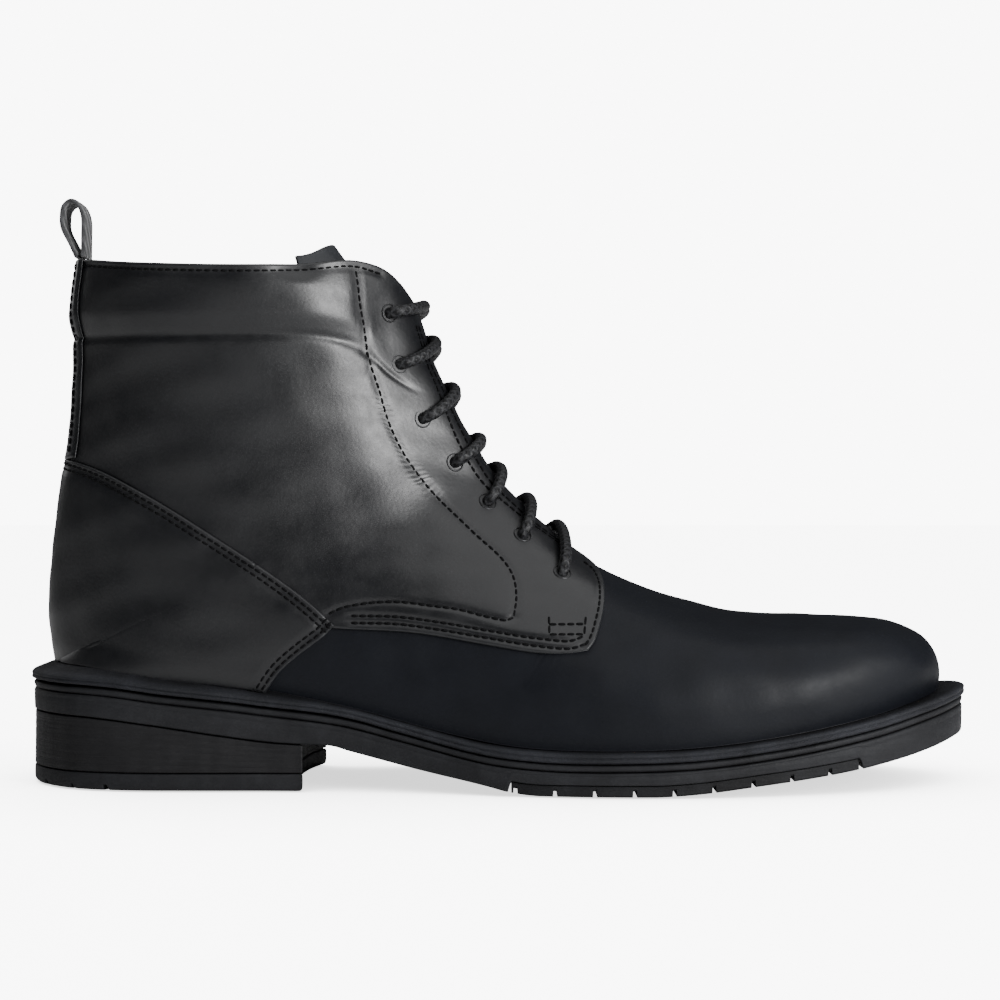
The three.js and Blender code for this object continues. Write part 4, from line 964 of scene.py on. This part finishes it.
def joined(name, names):
    """One mesh of several, with their common points welded and the walls between them taken out."""
    b = bmesh.new()
    for n in names:
        b.from_mesh(bpy.data.objects[n].data)
    material_used = bpy.data.objects[names[0]].data.materials[0]
    for n in names:
        bpy.data.objects.remove(bpy.data.objects[n])
    bmesh.ops.remove_doubles(b, verts=b.verts, dist=2e-6)
    between = [f for f in b.faces if sum(len(e.link_faces) > 2 for e in f.edges) > 1]
    bmesh.ops.delete(b, geom=between, context="FACES_ONLY")
    mesh = bpy.data.meshes.new(name)
    b.to_mesh(mesh)
    b.free()
    mesh.shade_smooth()
    mesh.materials.append(material_used)
    piece = bpy.data.objects.new(name, mesh)
    bpy.context.collection.objects.link(piece)
    return piece


# ------------------------------------------------------------------ the sole
SOLE_OUTER = [[153.5, 5], [152, -4.5], [147, -14.5], [138, -25.5], [124, -35.5], [104, -44.2], [80, -50],
              [52, -52.6], [28, -52], [4, -48], [-20, -42.5], [-45, -38.5], [-70, -37], [-95, -37.3],
              [-118, -36.3], [-136, -30.5], [-147, -20], [-152.2, -9.5], [-153.5, 0]]
SOLE_INNER = [[152.3, 14], [148, 23], [140, 31], [126, 39], [106, 46], [82, 50.8], [54, 52.6], [30, 50.6],
              [5, 43.5], [-20, 37], [-45, 34.5], [-70, 35.3], [-95, 36.8], [-118, 36.3], [-136, 30.5],
              [-147, 20], [-152.2, 9.5]]
HEEL_SEAT = height_curve([[-156, 23.5], [-130, 22.8], [-110, 20.6], [-90, 17.6], [-72, 15.2], [-62, 14.6],
                          [-50, 14.3]])
TREAD_FROM, TREAD_TO, NOTCH_PITCH, NOTCH_WIDTH = 3.5, 112, 12.2, 1.3
HEEL_LIFT = 5.4


def closed_line(points, count):
    """A smooth closed line through points, as count points evenly spaced along it."""
    n, each = len(points), 40
    line = smooth(points * 3 + points[:1], each * 3 * n)
    first = np.argmin(((line[each * n // 2: each * 3 * n // 2] - points[0]) ** 2).sum(1)) + each * n // 2
    second, third = each * 3 * n // 2, each * 5 * n // 2
    last = np.argmin(((line[second:third] - points[0]) ** 2).sum(1)) + second
    return resample(line[first: last + 1], np.linspace(0, 1, count + 1))[:-1]


SOLE = closed_line(SOLE_OUTER + SOLE_INNER[::-1], 1100)


def middle_of(x):
    """y of the sole's centre line at x."""
    half = len(SOLE) // 2
    a, b = SOLE[:half], SOLE[half:]
    order_a, order_b = np.argsort(a[:, 0]), np.argsort(b[:, 0])
    return (np.interp(x, a[order_a, 0], a[order_a, 1]) + np.interp(x, b[order_b, 0], b[order_b, 1])) / 2


def inset(loop, distance):
    """The loop brought in by a distance. Loops run from the toe by the outer side to the heel, and back."""
    along = np.roll(loop, -1, axis=0) - np.roll(loop, 1, axis=0)
    along /= np.linalg.norm(along, axis=1)[:, None]
    return loop + np.asarray(distance, float).reshape(-1, 1) * np.column_stack([along[:, 1], -along[:, 0]])


def rough_noise(count, seed, blur):
    """Repeatable unevenness round a loop, from -1 to 1."""
    values = np.random.default_rng(seed).normal(size=count)
    reach = np.exp(-0.5 * (np.arange(-3 * blur, 3 * blur + 1) / blur) ** 2)
    values = np.convolve(np.concatenate([values[-3 * blur:], values, values[:3 * blur]]), reach, "valid")
    return values / np.abs(values).max()


def at_height(loop, height):
    z = height(loop[:, 0]) if callable(height) else np.full(len(loop), float(height))
    return np.column_stack([loop, z])


def towards_middle(ring, share, height):
    """The ring drawn in towards the sole's centre line, for the faces under and over a layer."""
    middle = middle_of(np.clip(ring[:, 0], -149, 149))
    pulled = np.column_stack([ring[:, 0], middle + (ring[:, 1] - middle) * share])
    return at_height(pulled, height)


def layer(name, rings, material_used, closed=False, edges=(), **kinds):
    """A solid through rings of points, one under another; closed joins the last ring to the first."""
    verts = np.vstack(rings)
    n = len(rings[0])
    faces = grid_faces(len(rings) + (1 if closed else 0), n, wrap=True) % len(verts)
    edge = np.zeros((len(rings), n))
    for i in edges:
        edge[i] = 0.8
    centre = verts.mean(axis=0)
    quad = verts[faces]
    outward = np.cross(quad[:, 2] - quad[:, 0], quad[:, 3] - quad[:, 1])
    if (outward * (quad.mean(axis=1) - centre)).sum() < 0:
        faces = faces[:, ::-1]
    return made(name, verts, faces, material_used, edge=edge.ravel(), **kinds)


def heel_tilt(x, distance):
    """At the heel the welt's top slopes down to its rim."""
    return (1 - step(x, -78, -40)) * np.interp(distance, [0, 7, 14], [-1.5, 1.3, 1.3])


def welt():
    n = len(SOLE)
    coarse, fine = rough_noise(n, 3, 5), rough_noise(n, 4, 1)
    profile = [(13, 0.0, 0), (9, 0.0, 0), (6, 0.1, 0), (3.2, 0.05, 0.03), (1.5, 0.0, 0.08),
               (0.75, -0.12, 0.16), (0.22, -0.42, 0.2), (0.0, -0.85, 0.22), (0.05, -1.25, 0.2),
               (0.34, -1.5, 0.1), (0.34, -1.75, 0.1), (0.05, -2.0, 0.2), (0.0, -2.45, 0.2),
               (0.2, -2.85, 0.15), (0.7, -3.15, 0.08), (3, -3.2, 0), (13, -3.2, 0)]
    rings = []
    for distance, drop, rough in profile:
        loop = inset(SOLE, distance + rough * (0.6 * coarse + 0.6 * fine))
        ring = at_height(loop, welt_top)
        thick = 1 - 0.12 * (1 - step(loop[:, 0], -60, -20))
        ring[:, 2] += drop * thick + heel_tilt(loop[:, 0], distance) + 0.5 * rough * fine
        rings.append(ring)
    layer("welt", rings, WELT_RUBBER, closed=True, edges=range(4, 14), body="bends",
          node=["welt_front", "welt_rear"], slot="welt")


def midsole():
    top, bottom = WELT + GAP, WELT + MIDSOLE + GAP
    fine = rough_noise(len(SOLE), 5, 2)
    profile = [(14, top), (2.2, top), (1.5, top + 0.1), (0.95, top + 0.35), (0.75, top + 0.8),
               (0.9, bottom - 0.7), (1.1, bottom - 0.2), (1.6, bottom), (14, bottom)]
    rings = []
    for distance, depth in profile:
        loop = inset(SOLE, distance + 0.1 * fine * (distance < 2))
        ring = at_height(loop, welt_top)
        ring[:, 2] += 0.8 * heel_tilt(loop[:, 0], 0) * (distance < 5) - depth
        rings.append(ring)
    layer("midsole", rings, SOLE_RUBBER, closed=True, edges=range(3, 6), body="bends",
          node=["midsole_front", "midsole_rear"], slot="sole_rubber")


def outsole_bottom(x):
    """Underside of the outsole: over the heel, along the waist, and over the tread pad."""
    over_pad = (TREAD + 0.3) * step(x, TREAD_FROM - 1.2, TREAD_FROM) * (1 - step(x, TREAD_TO, TREAD_TO + 1.2))
    waist = np.maximum(underside(x), 0) + over_pad
    over_heel = 1 - step(x, -62.5, -57)
    return waist * (1 - over_heel) + (HEEL_SEAT(x) + 0.1) * over_heel


def outsole():
    top = WELT + MIDSOLE + 2 * GAP
    fine = rough_noise(len(SOLE), 6, 2)
    shares = [(1.6, 0), (1.0, 0.03), (0.85, 0.08), (0.8, 0.2), (0.95, 0.24), (0.82, 0.28), (0.85, 0.6),
              (0.9, 0.75), (0.92, 0.85), (0.96, 0.93), (1.05, 0.975), (2.0, 1)]
    rings = [towards_middle(at_height(inset(SOLE, 1.6), 0)[:, :2], f, lambda x: welt_top(x) - top)
             for f in (0.02, 0.5, 0.9)]
    for distance, share in shares:
        loop = inset(SOLE, distance + 0.12 * fine)
        high, low = welt_top(loop[:, 0]) - top, outsole_bottom(loop[:, 0])
        high = high + 0.8 * heel_tilt(loop[:, 0], 0)
        rings.append(np.column_stack([loop, high + (np.minimum(low, high - 0.5) - high) * share]))
    rings += [towards_middle(inset(SOLE, 2.0), f, outsole_bottom) for f in (0.93, 0.8, 0.6, 0.4, 0.2, 0.02)]
    layer("outsole", rings, SOLE_RUBBER, edges=range(4, 13), body="bends",
          node=["outsole_front", "outsole_rear"], slot="sole_rubber")


def notches(x, start=TREAD_FROM + 0.6):
    """1 in the tread's edge grooves, which are a pitch apart along x."""
    place = np.mod(x - start, NOTCH_PITCH)
    inside = step(place, 0, 0.12) * (1 - step(place, NOTCH_WIDTH - 0.12, NOTCH_WIDTH))
    return inside * (x > start - 0.2) * (x < TREAD_TO - 2)


def tread_pad():
    """The forepart's tread: a pad with grooves cut in from both edges and shallow bars across its middle."""
    n = 1400
    x = TREAD_TO - 0.2 - (TREAD_TO - TREAD_FROM - 0.2) * np.linspace(0, 1, n)
    half = len(SOLE) // 2
    loop = inset(SOLE, 2.0)
    outer, inner = loop[:half], loop[half:]
    a = np.interp(x, outer[::-1, 0], outer[::-1, 1])
    b = np.interp(x, inner[:, 0], inner[:, 1])
    across = np.concatenate([[0, 0.004, 0.012, 0.03, 0.06, 0.1, 0.14, 0.142], np.linspace(0.17, 0.83, 34),
                             [0.858, 0.86, 0.9, 0.94, 0.97, 0.988, 0.996, 1]])
    near_edge = (np.minimum(across, 1 - across) <= 0.141)[None, :]
    groove = 1.9 * notches(x)[:, None] * near_edge
    slant = x[:, None] + 14 * np.abs(across - 0.5)[None, :]
    bars = 0.9 * step(np.sin(2 * np.pi * slant / 6.1), 0.3, 0.6) * ~near_edge
    rounded = rolled((np.minimum(across, 1 - across) * 95)[None, :], 0.6)
    bottom = np.maximum(underside(x), 0)[:, None] + groove + bars + rounded
    top = np.broadcast_to((np.maximum(underside(x), 0) + TREAD)[:, None], bottom.shape)
    y = a[:, None] + (b - a)[:, None] * across[None, :]
    xx = np.broadcast_to(x[:, None], y.shape)
    under = np.stack([xx, y, bottom], axis=-1).reshape(-1, 3)
    over = np.stack([xx, y, top], axis=-1).reshape(-1, 3)
    cols = len(across)
    faces = np.vstack([grid_faces(n, cols), grid_faces(n, cols, n * cols, True), walls(n, cols, 0, True)])
    pad = made("tread_pad", np.vstack([under, over]), faces, SOLE_RUBBER, edge=np.zeros(2 * n * cols),
               body="bends", node=["tread_pad_front", "tread_pad_rear"], slot="sole_rubber")
    pad.data.set_sharp_from_angle(angle=math.radians(40))


def heel_loop(distance, count=520):
    """The heel's plan outline, round the back from breast to breast and along the curved breast."""
    loop = inset(SOLE, distance)
    back = loop[loop[:, 0] < -59.5 - 2 * (loop[:, 1] < 0)]
    start, end = back[0], back[-1]
    breast = smooth([end, [-63.4, 18], [-65, 0], [-66, -18], start], 80)[1:-1]
    closed = np.vstack([back, breast, back[:1]])
    return resample(closed, np.linspace(0, 1, count + 1))[:-1]


def heel():
    base = heel_loop(1.0)
    centre = np.array([-105.0, 0.0])
    fine = rough_noise(len(base), 8, 2)

    def ring(height, share=1.0, grow=0.0, rough=0.0):
        out = base - centre
        out = out / np.linalg.norm(out, axis=1)[:, None]
        flat = centre + (base - centre) * share + out * (grow + rough * fine)[:, None]
        return at_height(flat, height)

    def seat_height(x):
        return HEEL_SEAT(x) - 0.25

    def between(low, high, u):
        return lambda x: low + (high(x) - low) * u

    lifts = []
    for i in range(6):
        low, high = i / 6, (i + 1) / 6
        for u, dip in ((low + 0.012, 0.05), (low + 0.03, 0.0), (high - 0.03, 0.0), (high - 0.012, 0.05)):
            flare = -0.1 - 0.12 * u
            lifts.append(ring(between(HEEL_LIFT + GAP, seat_height, u), 1.0, flare - dip, 0.12))
    bottom = [ring(HEEL_LIFT + GAP, f, -0.6) for f in (0.02, 0.5, 0.9, 0.99)]
    top = [ring(seat_height, f, -0.9) for f in (0.99, 0.9, 0.5, 0.02)]
    layer("heel_block", bottom + lifts + top, HEEL_RUBBER, edges=range(4, 28), body="rearfoot",
          node=["heel_block"], slot="sole_rubber")

    angle = np.degrees(np.arctan2(np.abs(base[:, 1]), -117 - base[:, 0]))
    cut = np.zeros(len(base))
    for degrees in (12, 36, 58, 78):
        cut = np.maximum(cut, 1 - step(np.abs(angle - degrees), 1.0, 1.45))
    cut *= base[:, 0] < -72
    sole = []
    for share, drop, grown in ((0.02, 0, 0), (0.5, 0, 0), (0.8, 0, 0),
                               (0.81, 1, 0), (0.93, 1, 0), (1, 1, -1.6)):
        r = ring(0, share, grown)
        r[:, 2] += 1.9 * cut * drop
        sole.append(r)
    for grown, z in ((-0.9, 0.15), (-0.35, 0.6), (-0.05, 1.4)):
        r = ring(z, 1.0, grown, 0.08)
        r[:, 2] = np.maximum(r[:, 2], 1.9 * cut)
        sole.append(r)
    side = [ring(z, 1.0, g, 0.08)
            for z, g in ((2.2, 0), (3.6, 0), (4.9, -0.05), (5.2, -0.2), (HEEL_LIFT, -0.5))]
    lid = [ring(HEEL_LIFT, f, -0.6) for f in (0.98, 0.5, 0.02)]
    piece = layer("heel_top_piece_rubber", sole + side + lid, SOLE_RUBBER, edges=range(6, 13),
                  body="rearfoot", node=["heel_top_piece"], slot="sole_rubber")
    piece.data.set_sharp_from_angle(angle=math.radians(45))


# ------------------------------------------------------------------ inside the boot
def linings():
    """The quarters' lining up to a rolled collar."""
    u, v = np.linspace(0, 1, 90), spaced(70, 120)
    for name, side in SIDES:
        rim = border([[x, z - 0.7] for x, z in RIM[:5]], side, 80, u)[::-1]
        rim[-1, 1] = side
        low_k = np.linspace(8.6, 18, len(u))
        low = np.column_stack([low_k, np.full(len(u), side * 0.999)])
        front = border([[-47, 166.7], [-46.4, 150], [-42, 136], [-36, 118], [-27, 103], [-16, 89],
                        [-4, 77], [6, 68], [10, 58], [12, 40], [8, 22]], side, 90, v)[::-1]
        back_k = 18 + (rim[-1, 0] - 18) * v
        back = np.column_stack([back_k, np.full(len(v), side)])
        front[-1], low[0] = rim[0], [front[0, 0], side * 0.999]
        front[0], low[-1] = low[0], [18, side]
        low[:, 0] = np.linspace(low[0, 0], 18, len(u))
        kt = coons(low, rim, front, back, u, v)
        k, t = kt[..., 0], np.clip(kt[..., 1], -1, 1)
        p = sampled(POINTS, k, t)
        under_rim = rim_height(np.clip(p[..., 0], -139, -47)) - p[..., 2]
        roll = 1.5 * np.exp(-(np.maximum(under_rim, 0) / 2.2) ** 2)
        face = LINING_FACE + roll + unevenness(k, t) + 0.5 * np.minimum(padding(k, t), 0)
        thick = 1.0 + roll + 0.9 * step(under_rim, 0.5, 5) * (1 - step(under_rim, 17, 24))
        panel("collar_lining_" + name, k, t, face, thick, LINING, roll=0.45, body="rearfoot",
              node=["lining_" + name], slot="lining")


def vamp_lining():
    k = np.concatenate([np.arange(0.02, 8, 0.16), [8.1, 8.25, 8.4, 8.5]])
    t = np.linspace(-0.999, 0.999, 110)
    kk, tt = np.meshgrid(k, t, indexing="ij")
    panel("vamp_lining", kk, tt, -2.8 + unevenness(kk, tt), 0.9, LINING, free="", body="bends",
          node=["lining_front", "lining_flex_band", "lining_vamp_rear"], slot="lining")


def collar_foam():
    """The collar's foam, between the quarter and its lining, thickest in its middle."""
    u, v = spaced(110, 90), spaced(40, 24)
    for name, side in SIDES:
        top = border([[x, z - 3.2] for x, z in RIM[:5]], side, 80, u)[::-1]
        low = border([[x, z + 1.2] for x, z in PADDING_EDGE[:5]], side, 80, u)[::-1]
        top[-1, 1] = low[-1, 1] = side * 0.985
        front = low[0] + (top[0] - low[0]) * v[:, None]
        back = low[-1] + (top[-1] - low[-1]) * v[:, None]
        kt = coons(low, top, front, back, u, v)
        k, t = kt[..., 0], kt[..., 1]
        swell = padding(k, t)
        face = -0.25 + unevenness(k, t) + 0.9 * swell
        thick = np.maximum(1.05 + 0.9 * swell - 0.5 * np.minimum(swell, 0), 0.4)
        pad = panel("collar_pad_" + name, k, t, face, thick, FOAM, roll=0.9, body="rearfoot",
                    node=["collar_foam_" + name], slot="foam")


def inner_pieces():
    """Materials of the boards, stiffeners and shank that keep their plain shapes inside the boot."""
    for look, names in ((FIBRE_BOARD, ("insole_board_front", "insole_board_rear")),
                        (STIFFENER, ("toe_puff", "heel_stiffener",
                                     "eyestay_backing_outer", "eyestay_backing_inner")),
                        (CORK, ("cork_filler_front", "cork_filler_rear")),
                        (STEEL, ("steel_shank",))):
        for name in names:
            for slot in NODES[name].material_slots:
                slot.material = look


def footbed():
    height = 2 * GAP + BOARD + 0.1

    def top(x):
        return welt_top(x) + height + FOOTBED - 0.3

    rings = [towards_middle(inset(SOLE, 15.4), f, lambda x: welt_top(x) + height) for f in (0.02, 0.5, 1)]
    rings += [at_height(inset(SOLE, d), lambda x, c=c: welt_top(x) + height + c)
              for d, c in ((14.8, 0.3), (14.7, 1.4), (15, 2.0), (15.6, 2.2))]
    rings += [towards_middle(inset(SOLE, 15.6), f, top) for f in (0.97, 0.9, 0.75, 0.5, 0.25, 0.02)]
    layer("footbed", rings, FOOTBED_CLOTH, edges=(), body="bends", node=["footbed_front", "footbed_rear"],
          slot="footbed")


def tongue():
    """The tongue and its lining, whose top falls back from the facings."""
    top = height_curve(sorted([[-42, 168], [-45.6, 170.4], [-48.6, 174.4], [-50.8, 177], [-51.8, 177.3],
                               [-53, 176.6], [-56, 174.2], [-60, 171.2], [-64, 169.8], [-71, 168.8]]))
    t = np.linspace(-0.335, 0.335, 80)
    share = spaced(110, 170)
    for node, name, depth, look, slot_name in (
            ("tongue", "tongue_leather", TONGUE_DEPTH, TONGUE, "tongue_leather"),
            ("tongue_lining", "tongue_backing", TONGUE_DEPTH + 1.5, LINING, "lining")):
        ends = []
        for turn in t:
            k = np.linspace(23, 25.97, 200)
            p = skin(k, np.full(200, turn), tongue_face(k, depth))
            over = p[:, 2] - top(np.clip(p[:, 0], -71, -44))
            ends.append(k[np.argmax(over > 0)] if (over > 0).any() else k[-1])
        ends = np.convolve(np.pad(ends, 3, "edge"), np.ones(7) / 7, "valid")
        kk = 8.9 + (ends[None, :] - 8.9) * share[:, None]
        tt = np.broadcast_to(t, kk.shape)
        panel(name, kk, tt, tongue_face(kk, depth) + 0.4 * unevenness(kk, tt), LEATHER, look, roll=0.5,
              body="tongue", node=[node], slot=slot_name)


def tongue_face(k, depth):
    return -depth - 1.15 * np.maximum(k - 20, 0) - 5.2 * np.maximum(k - 24.6, 0)


def back_strip():
    """The narrow strip over the back seam, from the counter cover up to the collar."""
    k = 20.9 + (24.86 - 20.9) * spaced(70, 66)
    across = np.linspace(-1, 1, 41)
    kk, turn = np.meshgrid(k, across, indexing="ij")
    t = np.where(turn < 0, -1, 1) * (1 - np.abs(turn) * STRIP_HALF / BACK_TURN)
    t = np.where(np.abs(turn) < 1e-9, 1.0, t)
    face = STRIP_FACE + unevenness(kk, t) + padding(kk, t) - 0.25
    flat = skin(kk, t, face)
    edges = np.min(from_border(flat), axis=0)
    outer = skin(kk, t, face - rolled(edges, 0.6))
    inner = skin(kk, t, face - LEATHER)
    # nearness to the strip's edges, which the leather paints paler: partly wear, partly a painted highlight
    # along the edge
    wear_and_edge_highlight = np.concatenate([np.exp(-edges.ravel() / 1.6)] * 2)
    back_shell("back_seam_strip", outer, inner, UPPER, edge=wear_and_edge_highlight, node=["back_strip"], slot="upper_leather")


def back_shell(name, outer, inner, material_used, **kinds):
    """A solid between two grids at the back of the shaft, its faces turned away from the shaft's middle."""
    rows, cols = outer.shape[:2]
    faces = np.vstack([grid_faces(rows, cols), grid_faces(rows, cols, rows * cols, True),
                       walls(rows, cols, 0, True)])
    quad = outer.reshape(-1, 3)[faces[0]]
    out = np.cross(quad[2] - quad[0], quad[3] - quad[1]) @ (quad.mean(axis=0) - [-90, 0, quad[:, 2].mean()])
    verts = np.vstack([outer.reshape(-1, 3), inner.reshape(-1, 3)])
    made(name, verts, faces if out > 0 else faces[:, ::-1], material_used, body="rearfoot", **kinds)


def pull_loop():
    """A strip of herringbone webbing bent into a loop, with its sewn-down ends inside the collar."""
    line = smooth([[-136.4, 170.9], [-136.3, 177.2], [-136.5, 184.6], [-138.1, 188.1], [-140.4, 189.1],
                   [-142.6, 187.4], [-143.3, 184], [-143, 180.3], [-140.4, 175], [-138.5, 170.9]], 130)
    along = np.gradient(line, axis=0)
    along /= np.linalg.norm(along, axis=1)[:, None]
    out = np.column_stack([along[:, 1], -along[:, 0]])
    section = []
    for angle in np.linspace(0, 2 * np.pi, 56, endpoint=False):
        c, s = math.cos(angle), math.sin(angle)
        section.append((7.0 * np.sign(c) * abs(c) ** 0.35, 0.8 * np.sign(s) * abs(s) ** 0.45))
    verts, uv = [], []
    run = np.concatenate([[0], np.cumsum(np.linalg.norm(np.diff(line, axis=0), axis=1))])
    for p, o, r in zip(line, out, run):
        for y, h in section:
            verts.append([p[0] + o[0] * h, y, p[1] + o[1] * h])
            uv.append([r, y])
    faces = [tuple(f) for f in grid_faces(len(line), len(section), wrap=True)]
    ends = [tuple(range(len(section)))[::-1], tuple(range((len(line) - 1) * len(section), len(verts)))]
    made("webbing_loop", verts, faces + ends, WEBBING, uv=uv, body="pull_loop", node=["pull_loop"],
         slot="webbing")
    k = np.linspace(22.2, 24.9, 24)
    across = np.linspace(-1, 1, 17)
    kk, turn = np.meshgrid(k, across, indexing="ij")
    beside_seam = np.where(turn < 0, -1, 1) * (1 - np.abs(turn) * WEBBING_HALF / BACK_TURN)
    t = np.where(np.abs(turn) < 1e-9, 1.0, beside_seam)
    outer, inner = skin(kk, t, -0.05), skin(kk, t, -1.0)
    back_shell("webbing_ends", outer, inner, WEBBING, node=["pull_loop_base"], slot="webbing")


# ------------------------------------------------------------------ eyelets and stitching
def eyelets():
    """A black ring through each hole, whose rim over the facing is a black ring of painted shade round the
    lace, standing in for the dark gap of a hole.
    """
    flange = EYELET_R + 1.5
    # the profile's last four points make that rim: painted shade round the lace, as the leather has no hole
    # cut here
    profile = [(EYELET_R, -2.5), (EYELET_R + 0.3, -2.62), (flange - 0.3, -2.6), (flange, -2.4),
               (flange - 0.1, -2.15), (EYELET_R + 0.5, -2.05), (EYELET_R + 0.5, 1.4),
               (EYELET_R + 0.35, 1.75), (EYELET_R + 0.1, 1.8), (EYELET_R, 1.6)]
    count = 40
    for row, pair in enumerate(HOLE_AT):
        for (name, _), (k, t) in zip(SIDES, pair):
            centre, up = one(k, t, 0.0), normal(np.array([k]), np.array([t]))[0]
            side = np.cross(up, [0, 0, 1])
            side /= np.linalg.norm(side)
            other = np.cross(up, side)
            verts = [centre + up * h + r * (side * math.cos(a) + other * math.sin(a))
                     for r, h in profile for a in np.linspace(0, 2 * np.pi, count, endpoint=False)]
            faces = grid_faces(len(profile) + 1, count, wrap=True) % len(verts)
            label = f"{name}_{row + 1}"
            made("eyelet_ring_" + label, verts, faces, BLACK_METAL, body="rearfoot", node=["eyelet_" + label],
                 slot="eyelets")


def stitches(name, rows, body, slot_name="upper_leather", pitch=STITCH_PITCH):
    """Separate stitches of thread along rows, each given as (points on the surface, normals there)."""
    verts, faces = [], []
    sides, shares = 7, np.array([0, 0.1, 0.3, 0.5, 0.7, 0.9, 1])
    lift = np.array([-0.3, 0.02, 0.14, 0.17, 0.14, 0.02, -0.3])
    girth = np.array([0.5, 0.85, 1, 1, 1, 0.85, 0.5])
    around = np.linspace(0, 2 * np.pi, sides, endpoint=False)
    for points, ups in rows:
        length = np.linalg.norm(np.diff(points, axis=0), axis=1).sum()
        count = max(int(length / pitch), 1)
        at = resample(np.hstack([points, ups]), (np.arange(count * 8 + 1)) / (count * 8))
        for i in range(count):
            a, b = at[i * 8], at[i * 8 + 7]
            up = (a[3:] + b[3:]) / np.linalg.norm(a[3:] + b[3:])
            along = (b[:3] - a[:3]) / np.linalg.norm(b[:3] - a[:3])
            side = np.cross(along, up)
            start = len(verts)
            for u, h, g in zip(shares, lift, girth):
                centre = a[:3] * (1 - u) + b[:3] * u + up * h
                verts += [centre + THREAD / 2 * g * (side * math.cos(c) + 0.85 * up * math.sin(c))
                          for c in around]
            faces += [tuple(f) for f in grid_faces(len(shares), sides, start, wrap=True)]
            faces.append(tuple(range(start, start + sides))[::-1])
            faces.append(tuple(range(len(verts) - sides, len(verts))))
    made(name, verts, faces, THREAD_LOOK, body=body, slot=slot_name)


def seam(kt, height, lift=0.06):
    """A seam's points and normals on a panel whose outer face is at height(k, t)."""
    k, t = kt[:, 0], kt[:, 1]
    return skin(k, t, height(k, t) + lift), normal(k, t)


def stitching():
    for name, side in SIDES:
        def on(line, height, count=120):
            return seam(locate(smooth(line, count), side), height)

        k = np.linspace(9.4, 22.9, 120)
        facing = [seam(np.column_stack([k, at_half_width(k, side * (FACING_GAP + d))]), quarter_height)
                  for d in (1.7, 3.6)]
        tack = [on([BAR_TACK[i], BAR_TACK[i + 1]], quarter_height, 12) for i in range(3)]
        tack += [on([[15.2, 51.6], [26.4, 51.8]], quarter_height, 12)]
        rows = [on(line, quarter_height) for line in QUARTER_SEAMS] + facing + tack
        stitches("stitches_quarter_" + name, rows, "rearfoot")
        stitches("stitches_counter_" + name, [on(line, counter_height) for line in COUNTER_SEAMS], "rearfoot")
    k = np.linspace(21, 24.8, 60)
    rows = []
    for side in (-1, 1):
        t = np.full(60, side * (1 - STRIP_SEAM / BACK_TURN))
        rows.append(seam(np.column_stack([k, t]),
                         lambda k, t: STRIP_FACE + unevenness(k, t) + padding(k, t) - 0.25))
    stitches("stitches_back_strip", rows, "rearfoot")


camera()
lamps()
surroundings()
pale_floor()
laces()
quarter("quarter_leather_outer", -1)
quarter("quarter_leather_inner", 1)
counter_cover()
vamp()
eyelets()
stitching()
welt()
midsole()
outsole()
tread_pad()
heel()
linings()
vamp_lining()
collar_foam()
inner_pieces()
footbed()
tongue()
back_strip()
pull_loop()
